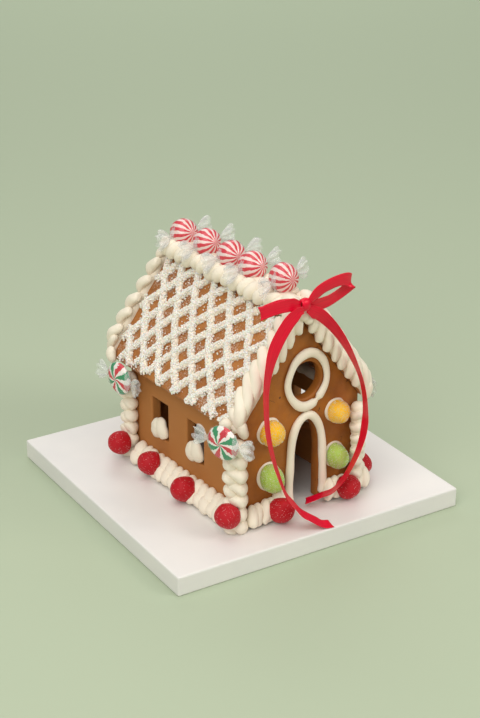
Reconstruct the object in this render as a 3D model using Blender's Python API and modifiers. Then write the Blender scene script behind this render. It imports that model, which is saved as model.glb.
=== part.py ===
"""Gingerbread house on its white cake board: baked panels, piped icing, sweets and a ribbon bow.

Metres, +Z up. The door faces -Y, the ridge runs along Y, and the origin is under the board's centre.
The house stands square to the axes and the board is turned a little under it.
"""

import math
import random

import bmesh
import bpy
from mathutils import Matrix, Vector

MM = 0.001
GAP = 0.3 * MM

# Board
BOARD_SIDE = 254 * MM
BOARD_THICK = 16 * MM
BOARD_TURN = math.radians(-4)

# Baked panels
SLAB = 9 * MM
ROOF_SLAB = 8 * MM
LEFT, RIGHT = -56 * MM, 57 * MM
FRONT, BACK = -83.5 * MM, 67 * MM
MIDDLE = (LEFT + RIGHT) / 2
APEX = BOARD_THICK + 155 * MM
ROOF_PITCH = math.atan(75 / 56.5)
ROOF_FRONT, ROOF_BACK = -85 * MM, 84 * MM
EAVE_RUN = RIGHT - MIDDLE + 2 * MM
WALL_TOP = APEX - (RIGHT - MIDDLE) * math.tan(ROOF_PITCH)

# Openings
DOOR_X = 5 * MM
DOOR_WIDTH, DOOR_ARCH = 26 * MM, 29.5 * MM
DOOR_SPRING = BOARD_THICK + 44 * MM
ROUND_Z = BOARD_THICK + 105 * MM
ROUND_RADIUS = 15 * MM
WINDOW_YS = (-24 * MM, 25 * MM)
WINDOW_WIDTH = 22.5 * MM
WINDOW_BOTTOM, WINDOW_TOP = BOARD_THICK + 30.5 * MM, BOARD_THICK + 62 * MM

# Icing
PER_LUMP = 3
ROPE_RADIUS, ROPE_PITCH = 7.6 * MM, 13 * MM
COLUMN_PITCH = 12 * MM
COLUMN_TOP = BOARD_THICK + 76 * MM
BEAD_RADIUS = 3.3 * MM
RING_Z = BOARD_THICK + 106.5 * MM
RING_WIDE, RING_TALL = 18.2 * MM, 21.8 * MM
PETAL_PITCH = 12.4 * MM
RIDGE_RADIUS, RIDGE_PITCH = 6.6 * MM, 13 * MM
LATTICE_THICK = 3 * MM
HOLE_SHARE = 0.35

# Sweets
GUMDROP_RADIUS, GUMDROP_HEIGHT = 9.8 * MM, 13.5 * MM
BALL_RADIUS = 11.5 * MM
MINT_RADIUS, MINT_THICK = 13.5 * MM, 9 * MM

# Ribbon
RIBBON_WIDTH, RIBBON_THICK = 10 * MM, 0.8 * MM
CORNER_LOOK = Vector((0.532, 0.738, -0.416))

GINGERBREAD = ("gingerbread", (0.42, 0.16, 0.035), 0.75)
ICING = ("royal_icing", (0.88, 0.80, 0.66), 0.45)
CARD = ("white_board", (0.83, 0.80, 0.76), 0.5)
RED_JELLY = ("red_gumdrop", (0.50, 0.008, 0.02), 0.6)
YELLOW_JELLY = ("yellow_gumdrop", (0.85, 0.42, 0.03), 0.6)
GREEN_JELLY = ("green_gumdrop", (0.35, 0.52, 0.08), 0.6)
PEPPERMINT = ("peppermint", (0.85, 0.35, 0.35), 0.25)
SATIN = ("red_satin", (0.58, 0.0, 0.02), 0.4)


def clear_scene():
    for leftover in list(bpy.data.objects):
        bpy.data.objects.remove(leftover, do_unlink=True)


def material(kind):
    name, colour, roughness = kind
    made = bpy.data.materials.get(name)
    if made is None:
        made = bpy.data.materials.new(name)
        made.use_nodes = True
        shader = made.node_tree.nodes["Principled BSDF"]
        shader.inputs["Base Color"].default_value = (*colour, 1)
        shader.inputs["Roughness"].default_value = roughness
        shader.inputs["Metallic"].default_value = 0
    return made


def add_object(name, data, kind, matrix=None):
    """Links a mesh or curve as one named part."""
    obj = bpy.data.objects.new(name, data)
    data.materials.append(material(kind))
    PARTS.objects.link(obj)
    if matrix is not None:
        obj.matrix_world = matrix
    return obj


def loft(name, rings, kind, closed=False):
    """A solid through rings of points: caps close both ends, or the last ring joins the first."""
    shape = bmesh.new()
    loops = [[shape.verts.new(point) for point in ring] for ring in rings]
    count = len(loops[0])
    for index in range(len(loops) if closed else len(loops) - 1):
        near, far = loops[index], loops[(index + 1) % len(loops)]
        for k in range(count):
            shape.faces.new((near[k], near[(k + 1) % count], far[(k + 1) % count], far[k]))
    if not closed:
        shape.faces.new(loops[0][::-1])
        shape.faces.new(loops[-1])
    bmesh.ops.recalc_face_normals(shape, faces=shape.faces)
    mesh = bpy.data.meshes.new(name)
    shape.to_mesh(mesh)
    shape.free()
    mesh.shade_smooth()
    mesh.set_sharp_from_angle(angle=math.radians(50))
    return add_object(name, mesh, kind)


def panel(name, outlines, thickness, kind, matrix):
    """A flat slab from closed outlines in the matrix's XY plane. Outlines inside the first are holes."""
    curve = bpy.data.curves.new(name, "CURVE")
    curve.dimensions = "2D"
    curve.fill_mode = "BOTH"
    curve.extrude = thickness / 2
    for outline in outlines:
        spline = curve.splines.new("POLY")
        spline.points.add(len(outline) - 1)
        spline.use_cyclic_u = True
        for point, (x, y) in zip(spline.points, outline):
            point.co = (x, y, 0, 1)
    return add_object(name, curve, kind, matrix)


def plane_frame(origin, x_axis, y_axis):
    """A matrix whose local X and Y run along the two axes, with its origin at the point."""
    x_axis, y_axis = Vector(x_axis).normalized(), Vector(y_axis).normalized()
    rows = Matrix((x_axis, y_axis, x_axis.cross(y_axis))).transposed()
    return Matrix.Translation(origin) @ rows.to_4x4()


def arc(centre, radii, start, end, steps):
    """Points of an oval's arc in a plane, both ends included."""
    angles = [start + (end - start) * k / steps for k in range(steps + 1)]
    return [(centre[0] + radii[0] * math.cos(a), centre[1] + radii[1] * math.sin(a)) for a in angles]


def smooth_route(points, steps):
    """A Catmull-Rom curve through the points, with the given steps in each span."""
    ends = [2 * points[0] - points[1], *points, 2 * points[-1] - points[-2]]
    route = []
    for k in range(len(points) - 1):
        a, b, c, d = ends[k : k + 4]
        for step in range(steps):
            t = step / steps
            route.append(
                0.5 * (2 * b + (c - a) * t + (2 * a - 5 * b + 4 * c - d) * t**2 + (3 * b - a - 3 * c + d) * t**3)
            )
    return route + [points[-1]]


def ball_block(centre, ball, radius):
    """A block that keeps a section at the centre clear of a ball: all that lies beyond its near side."""
    away = (centre - ball).normalized()
    return [(away, away.dot(ball) + radius)]


def limit(centre, direction, blocks):
    """How far a ray runs before it meets a block. A block is a list of planes (normal, offset): a
    point is inside it where it lies below every one of them."""
    nearest = math.inf
    for block in blocks:
        enter, leave = 0.2 * MM, math.inf
        for normal, offset in block:
            slope = normal.dot(direction)
            height = normal.dot(centre) - offset - GAP
            if slope < 0:
                enter = max(enter, height / -slope)
            elif height > 0:
                leave = 0
            elif slope > 0:
                leave = min(leave, -height / slope)
        if enter <= leave + 0.001 * MM:
            nearest = min(nearest, enter)
    return nearest


def icing(name, centres, axes, reach, blocks=(), aim=0.0, closed=False, sides=6):
    """Piped icing: a ring of points round each centre, pushed out by reach(angle, index) along the
    plane of its two axes, and stopped where it would enter a block."""
    rings = []
    for index, centre in enumerate(centres):
        across, over = axes[index] if isinstance(axes, list) else axes
        near = blocks(index) if callable(blocks) else blocks
        ring = []
        for k in range(sides):
            angle = aim + 2 * math.pi * k / sides
            direction = across * math.cos(angle) + over * math.sin(angle)
            ring.append(centre + direction * min(reach(angle, index), limit(centre, direction, near)))
        rings.append(ring)
    return loft(name, rings, ICING, closed)


X, Y, Z = Vector((1, 0, 0)), Vector((0, 1, 0)), Vector((0, 0, 1))
ABOVE_BOARD = [(Z, BOARD_THICK)]


def stations(start, end, pitch):
    """Evenly spaced points for a rope of whole lumps, with the phase of each point along its lump."""
    count = round((end - start).length / pitch) * PER_LUMP
    points = [start.lerp(end, k / count) for k in range(count + 1)]
    return points, [2 * math.pi * k / PER_LUMP for k in range(count + 1)]


def rope_reach(radius, phases, depth=0.17):
    """A twisted rope: the lump leads on one side and lags on the other, and both ends are rounded."""
    last = len(phases) - 1
    sizes = [random.uniform(0.95, 1.05) for _ in phases]

    def reach(angle, index):
        twist = 1 + depth * math.cos(phases[index] + angle) - depth * 0.3
        end = 0.55 if index in (0, last) else 1
        return radius * twist * end * sizes[index]

    return reach


def add_board():
    bpy.ops.mesh.primitive_cube_add(size=1)
    board = bpy.context.object
    board.name = board.data.name = "board"
    for collection in list(board.users_collection):
        collection.objects.unlink(board)
    PARTS.objects.link(board)
    board.data.transform(Matrix.Diagonal((BOARD_SIDE, BOARD_SIDE, BOARD_THICK, 1)))
    board.location = (0, 0, BOARD_THICK / 2)
    board.rotation_euler = (0, 0, BOARD_TURN)
    board.data.materials.append(material(CARD))
    bevel = board.modifiers.new("soft edges", "BEVEL")
    bevel.width = 1.2 * MM
    bevel.segments = 2


def gable_outline():
    foot, shoulder = BOARD_THICK + GAP, WALL_TOP - GAP
    return foot, shoulder, (MIDDLE, APEX - GAP)


def add_gables():
    foot, shoulder, peak = gable_outline()
    door_left, door_right = DOOR_X - DOOR_WIDTH / 2, DOOR_X + DOOR_WIDTH / 2
    doorway = [(door_left, foot)]
    doorway += arc((DOOR_X, DOOR_SPRING), (DOOR_WIDTH / 2, DOOR_ARCH), math.pi, 0, 12)
    doorway += [(door_right, foot)]
    outline = [(LEFT, foot), *doorway, (RIGHT, foot), (RIGHT, shoulder), peak, (LEFT, shoulder)]
    porthole = arc((DOOR_X, ROUND_Z), (ROUND_RADIUS, ROUND_RADIUS), 0, 2 * math.pi * 19 / 20, 19)
    front = plane_frame((0, FRONT + SLAB / 2, 0), X, Z)
    panel("front_wall", [outline, porthole], SLAB, GINGERBREAD, front)
    plain = [(LEFT, foot), (RIGHT, foot), (RIGHT, shoulder), peak, (LEFT, shoulder)]
    panel("back_wall", [plain], SLAB, GINGERBREAD, plane_frame((0, BACK - SLAB / 2, 0), X, Z))


def add_side_walls():
    foot, top = BOARD_THICK + GAP, WALL_TOP - GAP
    start, end = FRONT + SLAB + GAP, BACK - SLAB - GAP
    outline = [(start, foot), (end, foot), (end, top), (start, top)]
    holes = []
    for middle in WINDOW_YS:
        low, high = middle - WINDOW_WIDTH / 2, middle + WINDOW_WIDTH / 2
        holes.append([(low, WINDOW_BOTTOM), (high, WINDOW_BOTTOM), (high, WINDOW_TOP), (low, WINDOW_TOP)])
    for name, x in (("left_wall", LEFT + SLAB / 2), ("right_wall", RIGHT - SLAB / 2)):
        panel(name, [outline, *holes], SLAB, GINGERBREAD, plane_frame((x, 0, 0), Y, Z))


def slope_axes(side):
    """Down the slope and out of it, for the side's roof."""
    down = Vector((side * math.cos(ROOF_PITCH), 0, -math.sin(ROOF_PITCH)))
    out = Vector((side * math.sin(ROOF_PITCH), 0, math.cos(ROOF_PITCH)))
    return down, out


def roof_top(side, slope=0.0, height=0.0, y=0.0):
    """A point on the upper face of the side's roof slab: down the slope, above it, and along Y."""
    down, out = slope_axes(side)
    ridge = Vector((MIDDLE, y, APEX + GAP + ROOF_SLAB / math.cos(ROOF_PITCH)))
    return ridge + down * slope + out * height


SLOPE_LENGTH = EAVE_RUN / math.cos(ROOF_PITCH) + ROOF_SLAB * math.tan(ROOF_PITCH)


def add_roof_slabs():
    ridge_x = GAP / 2
    for name, side in (("roof_left", -1), ("roof_right", 1)):
        down, out = slope_axes(side)
        inner_top = roof_top(side, ridge_x / math.cos(ROOF_PITCH))
        inner_low = Vector((inner_top.x, 0, inner_top.z - ROOF_SLAB / math.cos(ROOF_PITCH)))
        outer_top = roof_top(side, SLOPE_LENGTH)
        outer_low = outer_top - out * ROOF_SLAB
        corners = [(p.x, p.z) for p in (inner_top, outer_top, outer_low, inner_low)]
        middle = plane_frame((0, (ROOF_FRONT + ROOF_BACK) / 2, 0), X, Z)
        panel(name, [corners], ROOF_BACK - ROOF_FRONT, GINGERBREAD, middle)


def net(a, b):
    """The hand-piped net on a slope: the place, along Y and down, after so many meshes along each family
    of strands. Its meshes are about square, stand on a corner, and grow tighter towards the back."""
    along = 14 + 11.8 * a - 10 * b - 0.65 * a * a - 0.47 * a * b - 0.32 * b * b
    down = 66 + 13.7 * a + 12.5 * b - 0.23 * a * b - 0.23 * b * b
    return along * MM, down * MM


def add_lattice():
    """Crossed strands of icing: a plate with a hole in each mesh of the net."""
    start, end = ROOF_FRONT + 9.5 * MM, ROOF_BACK - 9.5 * MM
    top, bottom = 14.8 * MM, SLOPE_LENGTH + 2 * MM
    rim = 1.2 * MM
    half = HOLE_SHARE
    holes = []
    for a in range(-9, 10):
        for b in range(-9, 10):
            hole = [net(a - half, b - half), net(a + half, b - half), net(a + half, b + half), net(a - half, b + half)]
            if all(start + rim < y < end - rim and top + rim < slope < bottom - rim for y, slope in hole):
                holes.append(hole)
    outline = [(start, top), (end, top), (end, bottom), (start, bottom)]
    for name, side in (("lattice_left", -1), ("lattice_right", 1)):
        down, _ = slope_axes(side)
        face = plane_frame(roof_top(side, 0, GAP + LATTICE_THICK / 2), Y, down)
        panel(name, [outline, *holes], LATTICE_THICK, ICING, face)


def add_ridge_icing():
    """Two rows of fat dollops, one along each side of the ridge."""
    for name, side in (("ridge_icing_left", -1), ("ridge_icing_right", 1)):
        _, out = slope_axes(side)
        start = roof_top(side, 7 * MM, 6 * MM, ROOF_FRONT + 0.5 * MM)
        end = roof_top(side, 7 * MM, 6 * MM, ROOF_BACK - 0.5 * MM)
        centres, phases = stations(start, end, RIDGE_PITCH)
        roof = [(out, out.dot(roof_top(side)))]

        def near(index, centres=centres, roof=roof):
            balls = [Vector((BALL_X, y, BALL_Z)) for y in BALL_YS]
            close = [ball for ball in balls if abs(ball.y - centres[index].y) < 19 * MM]
            return [roof] + [ball_block(centres[index], ball, BALL_RADIUS + 0.5 * MM) for ball in close]

        icing(name, centres, (X * side, Z), rope_reach(RIDGE_RADIUS, phases), near)


def add_rakes():
    """Long petals hung over the front and back edges of the roof, side by side down each slope."""
    ends = (("front", -1, ROOF_FRONT), ("back", 1, ROOF_BACK))
    for end_name, facing, edge in ends:
        for side_name, side in (("left", -1), ("right", 1)):
            down, out = slope_axes(side)
            centre_y = edge + facing * 3 * MM
            start = roof_top(side, SLOPE_LENGTH - 1 * MM, 3 * MM, centre_y)
            end = roof_top(side, 5 * MM, 3 * MM, centre_y)
            centres, phases = stations(start, end, PETAL_PITCH)
            inward = Y * -facing
            over_roof = (-inward, -inward.dot(Y) * edge)
            middle = [(X * side, MIDDLE * side)]
            last = len(centres) - 1

            def near(index, over_roof=over_roof, middle=middle, out=out, side=side, last=last):
                ridge = index > last - 5
                edge_block = [over_roof] if ridge else [over_roof, (out, out.dot(roof_top(side)))]
                return [edge_block, middle]

            def reach(angle, index, phases=phases, last=last):
                wide = 11 * MM if math.cos(angle) > 0 else 4.5 * MM
                tall = 8.5 * MM if math.sin(angle) > 0 else 10 * MM
                oval = 1 / math.hypot(math.cos(angle) / wide, math.sin(angle) / tall)
                lobe = 0.72 + 0.28 * math.sqrt(abs(math.sin(phases[index] / 2)))
                return oval * lobe * (0.75 if index in (0, last) else 1)

            aim = math.atan2(-3 + 0.3, 3 - 0.3)
            icing(f"rake_{end_name}_{side_name}", centres, (inward, out), reach, near, aim)


def add_columns():
    """Twisted ropes up the four corners, each pressed against the corner of the walls."""
    corners = {
        "front_left": (LEFT - 6.4 * MM, FRONT - 3.8 * MM, 9 * MM, -1, -1, BOARD_THICK),
        "front_right": (RIGHT - 6 * MM, FRONT - 4.5 * MM, 8 * MM, 1, -1, BOARD_THICK + 14.8 * MM),
        "back_left": (LEFT - 5 * MM, BACK - 5 * MM, 8 * MM, -1, 1, BOARD_THICK),
        "back_right": (RIGHT + 7 * MM, BACK + 2 * MM, 9 * MM, 1, 1, BOARD_THICK),
    }
    for name, (x, y, radius, side, facing, foot) in corners.items():
        wall_x, wall_y = (RIGHT if side > 0 else LEFT), (BACK if facing > 0 else FRONT)
        centres, phases = stations(Vector((x, y, foot + 0.4 * MM)), Vector((x, y, COLUMN_TOP)), COLUMN_PITCH)
        corner = [(X * side, wall_x * side), (Y * facing, wall_y * facing)]
        aim = math.atan2(wall_y + facing * GAP - y, wall_x + side * GAP - x)
        mint, normal = MINTS["starlight_mint_" + name]

        def near(index, corner=corner, centres=centres, mint=mint, normal=normal):
            centre = centres[index]
            found = [corner, *blocks_of_drops(centre, 24 * MM)]
            if abs(centre.z - mint.z) < MINT_RADIUS + 4 * MM and (centre - mint).length < 25 * MM:
                found.append([(-normal, -normal.dot(mint) + MINT_THICK / 2)])
            return found

        reach = rope_reach(radius, phases, 0.12)
        icing("column_" + name, centres, (X, Y), reach, near, aim)


def blocks_of_drops(centre, distance):
    drops = [drop for drop, _, _ in RED_DROPS if (centre - drop).length < distance]
    return [ball_block(centre, drop, DROP_REACH) for drop in drops]


def add_borders():
    """The rope of icing along the foot of each wall, pressed against the wall and the board."""
    z = BOARD_THICK + 6.6 * MM
    out = 3.2 * MM
    runs = {
        "border_left": (Vector((LEFT - out, -74 * MM, z)), Vector((LEFT - out, 50 * MM, z)), -X, -LEFT),
        "border_right": (Vector((RIGHT + out, -81 * MM, z)), Vector((RIGHT + out, 57 * MM, z)), X, RIGHT),
        "border_back": (Vector((-52 * MM, BACK + out, z)), Vector((55 * MM, BACK + out, z)), Y, BACK),
        "border_front_left": (Vector((-52 * MM, FRONT - out, z)), Vector((-18 * MM, FRONT - out, z)), -Y, -FRONT),
        "border_front_right": (Vector((28 * MM, FRONT - out, z)), Vector((62 * MM, FRONT - out, z)), -Y, -FRONT),
    }
    for name, (start, end, outward, wall) in runs.items():
        centres, phases = stations(start, end, ROPE_PITCH)
        blocks = [[(outward, wall)], ABOVE_BOARD]

        def near(index, blocks=blocks, centres=centres):
            return blocks + blocks_of_drops(centres[index], 21 * MM)

        icing(name, centres, (outward, Z), rope_reach(ROPE_RADIUS, phases), near)


def add_door_and_window_beads():
    """A bead of icing up and over the doorway, and one round the porthole above it."""
    y = FRONT - 2.4 * MM
    wall = [[(-Y, -FRONT)], ABOVE_BOARD]
    half, rise = DOOR_WIDTH / 2 + 2.5 * MM, DOOR_ARCH + 3.5 * MM
    foot = BOARD_THICK + 1.5 * MM
    upright = DOOR_SPRING - foot
    left = [Vector((DOOR_X - half - 1.5 * MM * (1 - t) ** 2, y, foot + upright * t)) for t in (0, 0.2, 0.5, 0.8)]
    over = [Vector((a, y, b)) for a, b in arc((DOOR_X, DOOR_SPRING), (half, rise), math.pi, 0, 10)]
    right = [Vector((2 * DOOR_X - p.x, p.y, p.z)) for p in reversed(left)]
    route = left + over + right
    axes = []
    for k, point in enumerate(route):
        tangent = (route[min(k + 1, len(route) - 1)] - route[max(k - 1, 0)]).normalized()
        axes.append((Y.cross(tangent).normalized(), Y))
    icing("door_icing", route, axes, lambda a, k: BEAD_RADIUS, wall)
    circle = arc((0, 0), (1, 1), 0, 2 * math.pi * 19 / 20, 19)
    centres = [Vector((DOOR_X + RING_WIDE * c, y, RING_Z + RING_TALL * s)) for c, s in circle]
    axes = [(Vector((c, 0, s)), Y) for c, s in circle]
    icing("round_window_icing", centres, axes, lambda a, k: BEAD_RADIUS, wall, closed=True)


def add_window_icing():
    """Two fat petals leaning together in the lower half of each side window."""
    half, height = WINDOW_WIDTH / 2 - GAP, 17.5 * MM
    right = [(0, 1), (0.45, 0.8), (0.8, 0.5), (1, 0.2), (0.88, 0), (0.5, 0), (0.22, 0.18), (0, 0.42)]
    outline = [(half * a, height * b) for a, b in right + [(-a, b) for a, b in reversed(right[1:-1])]]
    for wall_name, x, side in (("left", LEFT, -1), ("right", RIGHT, 1)):
        for place, middle in zip(("front", "back"), WINDOW_YS):
            rings = []
            for depth, grow in ((-3, 0.9), (1.5, 1), (3.8, 0.8), (5, 0.45)):
                at, low = x + side * (depth - 1) * MM, WINDOW_BOTTOM + GAP + height * (1 - grow) / 2
                rings.append([Vector((at, middle + a * grow, low + b * grow)) for a, b in outline])
            loft(f"window_icing_{wall_name}_{place}", rings, ICING)


def tilted(axis):
    """A turned shape's frame: its own Z along the axis."""
    return axis.to_track_quat("Z", "Y").to_matrix().to_4x4()


def turned(name, profile, steps, kind, matrix):
    """A profile of (radius, height) turned about the matrix's Z."""
    mesh = bpy.data.meshes.new(name)
    points = [(radius, 0, height) for radius, height in profile]
    mesh.from_pydata(points, [(k, k + 1) for k in range(len(points) - 1)], [])
    obj = add_object(name, mesh, kind, matrix)
    screw = obj.modifiers.new("turn", "SCREW")
    screw.steps = screw.render_steps = steps
    screw.use_merge_vertices = True
    screw.merge_threshold = 0.00001
    screw.use_smooth_shade = True
    return obj


def gumdrop_profile(size):
    """A domed drop about its middle: flat foot, slightly tapered side, round top."""
    radius, height = GUMDROP_RADIUS * size, GUMDROP_HEIGHT * size
    foot = -6 * MM * size
    dome = [(0.0, 1.0), (0.5, 0.93), (0.84, 0.68), (0.97, 0.36), (1.0, 0.12), (0.9, 0.0), (0.0, 0.0)]
    return [(radius * r, foot + height * h) for r, h in dome]


def add_red_drops():
    for number, (centre, axis, size) in enumerate(RED_DROPS, 1):
        matrix = Matrix.Translation(centre) @ tilted(axis)
        turned(f"red_gumdrop_{number:02d}", gumdrop_profile(size), 8, RED_JELLY, matrix)


def add_wall_drops():
    """Two gumdrops on each side of the door, each pressed into a round dab of icing."""
    dome = [(0, 13.4), (0.5, 12.6), (0.84, 9.6), (0.97, 6.8), (1, 4), (0.95, 2.2)]
    dab = [(1.05, 1.5), (1.05, 0), (0, 0)]
    for side_name, x, rim in (("left", -29.8 * MM, 9.6 * MM), ("right", 33.4 * MM, 8.6 * MM)):
        profile = [(rim * r, h * MM) for r, h in dome + dab]
        for colour, kind, height in (("yellow", YELLOW_JELLY, 72.4 * MM), ("green", GREEN_JELLY, 34 * MM)):
            middle = Matrix.Translation((x, FRONT - GAP, BOARD_THICK + height))
            turned(f"{colour}_gumdrop_{side_name}", profile, 8, kind, middle @ tilted(-Y))


def wrapped_profile(radius, neck, fan, length):
    """A sweet in a twisted wrapper about its middle: fan, neck, round sweet, neck, fan."""
    body = [(radius * math.sin(a), radius * math.cos(a)) for a in (math.radians(d) for d in (30, 60, 90, 120, 150))]
    tail = [(0.0, length), (fan, length - 2 * MM), (neck, radius + 1.5 * MM)]
    return tail + body + [(r, -h) for r, h in reversed(tail)]


def add_ridge_balls():
    """Five striped peppermint balls along the ridge, their wrappers twisted to either side."""
    for number, y in enumerate(BALL_YS, 1):
        turn = random.uniform(-0.12, 0.12)
        axis = Vector((math.cos(turn), math.sin(turn), 0.08))
        centre = Vector((BALL_X, y, BALL_Z))
        profile = wrapped_profile(BALL_RADIUS, 2 * MM, 7 * MM, 25 * MM)
        turned(f"peppermint_ball_{number}", profile, 8, PEPPERMINT, Matrix.Translation(centre) @ tilted(axis))


def add_mints():
    """A flat starlight mint at each corner under the eaves, wrapper twisted front and back."""
    for name, (centre, normal) in MINTS.items():
        twist = Z.cross(normal).normalized()
        frame = Matrix((Z, normal, twist)).transposed().to_4x4()
        flatten = Matrix.Diagonal((1, MINT_THICK / (2 * MINT_RADIUS), 1, 1))
        profile = wrapped_profile(MINT_RADIUS, 2.4 * MM, 7.5 * MM, 24 * MM)
        turned(name, profile, 9, PEPPERMINT, Matrix.Translation(centre) @ frame @ flatten)


def ribbon(name, points, facings, steps=2):
    """A flat ribbon through the points, whose width runs along the facing given at each point."""
    route = smooth_route([Vector(p) * MM + Z * BOARD_THICK for p in points], steps)
    widths = smooth_route([Vector(f).normalized() for f in facings], steps)
    rings = []
    for k, point in enumerate(route):
        tangent = (route[min(k + 1, len(route) - 1)] - route[max(k - 1, 0)]).normalized()
        width = (widths[k] - tangent * widths[k].dot(tangent)).normalized()
        side = tangent.cross(width) * RIBBON_THICK / 2
        edge = width * RIBBON_WIDTH / 2
        rings.append([point + edge + side, point - edge + side, point - edge - side, point + edge - side])
    loft(name, rings, SATIN)


def twisting_ribbon(name, points):
    """A tail: each point also gives how far the band is turned, in degrees, from facing the corner."""
    places = [Vector(p[:3]) for p in points]
    facings = []
    for k, point in enumerate(points):
        tangent = (places[min(k + 1, len(places) - 1)] - places[max(k - 1, 0)]).normalized()
        broad = CORNER_LOOK.cross(tangent).normalized()
        turn = math.radians(point[3])
        facings.append(broad * math.cos(turn) + tangent.cross(broad) * math.sin(turn))
    ribbon(name, places, facings)


def add_bow():
    """The bow at the front peak: knot, a loop to each side and two long curling tails."""
    bpy.ops.mesh.primitive_uv_sphere_add(segments=10, ring_count=6, radius=1)
    knot = bpy.context.object
    knot.name = knot.data.name = "ribbon_knot"
    for collection in list(knot.users_collection):
        collection.objects.unlink(knot)
    PARTS.objects.link(knot)
    knot.data.transform(Matrix.Diagonal((4.5 * MM, 3 * MM, 5.5 * MM, 1)))
    knot.data.materials.append(material(SATIN))
    knot.location = Vector((-9.7, -98.5, 175.4)) * MM + Z * BOARD_THICK
    left = [(-14.5, -99.5, 176.8), (-22, -100.6, 178.8), (-30, -101, 179.7), (-39, -100.2, 179.2)]
    left += [(-46, -98.8, 177.8), (-48, -96.8, 177), (-45, -95.2, 176.5), (-38, -94.6, 177.2), (-28, -95, 177.8)]
    left += [(-14.5, -97, 176)]
    ribbon("ribbon_loop_left", left, [(-0.2, 0, 1)] * len(left), 1)
    right = [(-5, -99.3, 178.5), (-0.8, -100, 183.5), (5, -100.6, 187.8), (13, -101, 189.8), (21, -101, 190)]
    right += [(28, -100.2, 188.6), (33, -98.2, 185.8), (34, -95.6, 182.2), (31, -93.4, 179), (25, -93, 176.6)]
    right += [(17, -94, 175.1), (9, -95, 174.6), (1.5, -96.3, 173.8), (-4.6, -97.2, 173.8)]
    ribbon("ribbon_loop_right", right, [(-0.25, -0.15, 1)] * len(right), 1)
    tail = [(-14.6, -104.2, 174.4, -42), (-19.6, -103.7, 172.8, -36), (-27, -101.5, 164.7, -28)]
    tail += [(-35.1, -98.5, 148.7, -28)]
    tail += [(-40.5, -98.5, 132.9, -52), (-43.9, -99.5, 116.9, -64), (-45.7, -102, 100.9, -68)]
    tail += [(-46.2, -104, 88.7, -68), (-45.8, -106.5, 77, -70), (-43.3, -110, 59.8, -75), (-38.3, -113, 41.3, -79)]
    tail += [(-34.1, -114, 31.2, -78), (-28.5, -114.8, 23.6, -74), (-22.4, -115.7, 15.3, -69)]
    tail += [(-16.2, -117.5, 10.2, -66), (-10.1, -119.5, 5.6, -63), (-5, -121, 2.2, -61), (0, -122, 0.9, -61)]
    tail += [(6.5, -122.2, 0.8, -61)]
    twisting_ribbon("ribbon_tail_left", tail)
    tail = [(-4, -98.8, 169.8, 0), (0.8, -98.5, 166.6, 12), (6.6, -98.5, 162.5, 28), (15.6, -99, 153.1, 42)]
    tail += [(24.7, -99.5, 141, 55), (33, -100.5, 126.5, 68), (40.5, -101.5, 110.4, 78), (44.2, -102.2, 99.6, 78)]
    tail += [(46.4, -103, 88.2, 76), (47.3, -103.8, 74.9, 72), (46.5, -104.5, 66.5, 64), (44.8, -105, 57.9, 64)]
    tail += [(42.5, -105.5, 51.3, 68), (37.4, -106.5, 42, 72), (30.8, -107, 32.8, 75), (24.9, -105.5, 23.3, 76)]
    tail += [(18.9, -101.5, 14.5, 76), (12.3, -97, 11, 72), (5.5, -93.6, 8.2, 70), (1, -89.8, 5.6, 70)]
    twisting_ribbon("ribbon_tail_right", tail)


def drop_site(x, y, z, axis, size=1.0):
    """A gumdrop's middle above the board, the way its round top points, and its size."""
    return Vector((x * MM, y * MM, BOARD_THICK + z * MM)), Vector(axis).normalized(), size


RED_DROPS = [
    drop_site(-71.6, -28.2, 12.5, (-0.9, 0, 0.45), 1.02),
    drop_site(-70.6, 21.2, 13.7, (-0.9, 0.1, 0.45), 0.98),
    drop_site(-74.2, -91.8, 18.3, (-0.72, -0.6, 0.42)),
    drop_site(-73.8, 60.3, 16, (-0.95, -0.2, 0.4), 0.97),
    drop_site(-27.6, -100, 11.7, (0, -0.9, 0.42)),
    drop_site(37, -100, 11.5, (0.1, -0.9, 0.42), 0.98),
    drop_site(68.6, -75.4, 11.5, (0.9, -0.1, 0.45)),
    drop_site(72.2, -27, 12.5, (0.9, 0, 0.45)),
    drop_site(72.2, 22, 12.5, (0.9, -0.1, 0.45), 0.97),
    drop_site(79.5, 70, 14, (0.95, 0.1, 0.4), 1.02),
    drop_site(-30, 83.5, 11.5, (0, 0.9, 0.42)),
    drop_site(34, 83.5, 11.5, (0.1, 0.9, 0.42), 0.97),
]
DROP_REACH = 11.2 * MM
BALL_X = MIDDLE + 1.8 * MM
BALL_YS = [y * MM for y in (-57.8, -18.8, 9.3, 42, 74.3)]
BALL_Z = roof_top(1).z + BALL_RADIUS + GAP


def mint_site(x, y, z, normal):
    """A mint's middle above the board and the way its face looks."""
    return Vector((x * MM, y * MM, BOARD_THICK + z * MM)), Vector(normal).normalized()


MINTS = {
    "starlight_mint_front_left": mint_site(-76.8, -91, 79.6, (-0.951, -0.309, 0)),
    "starlight_mint_back_left": mint_site(-72.5, 57.6, 73.7, (-1, -0.08, 0)),
    "starlight_mint_front_right": mint_site(76.8, -57.1, 77.9, (0.98, -0.1, 0)),
    "starlight_mint_back_right": mint_site(76.5, 62, 74, (1, -0.08, 0)),
}

random.seed(12)
clear_scene()
PARTS = bpy.data.collections.new("gingerbread_house")
bpy.context.scene.collection.children.link(PARTS)
add_board()
add_gables()
add_side_walls()
add_roof_slabs()
add_lattice()
add_ridge_icing()
add_rakes()
add_columns()
add_borders()
add_door_and_window_beads()
add_window_icing()
add_red_drops()
add_wall_drops()
add_ridge_balls()
add_mints()
add_bow()
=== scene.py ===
"""Gingerbread house: baked panels, piped icing, sugar-coated sweets, wrapped mints and a satin bow.

Everything stands round the packed frame, in metres, +Z up. The door faces -Y and the ridge runs along Y.
"""

import math

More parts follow.
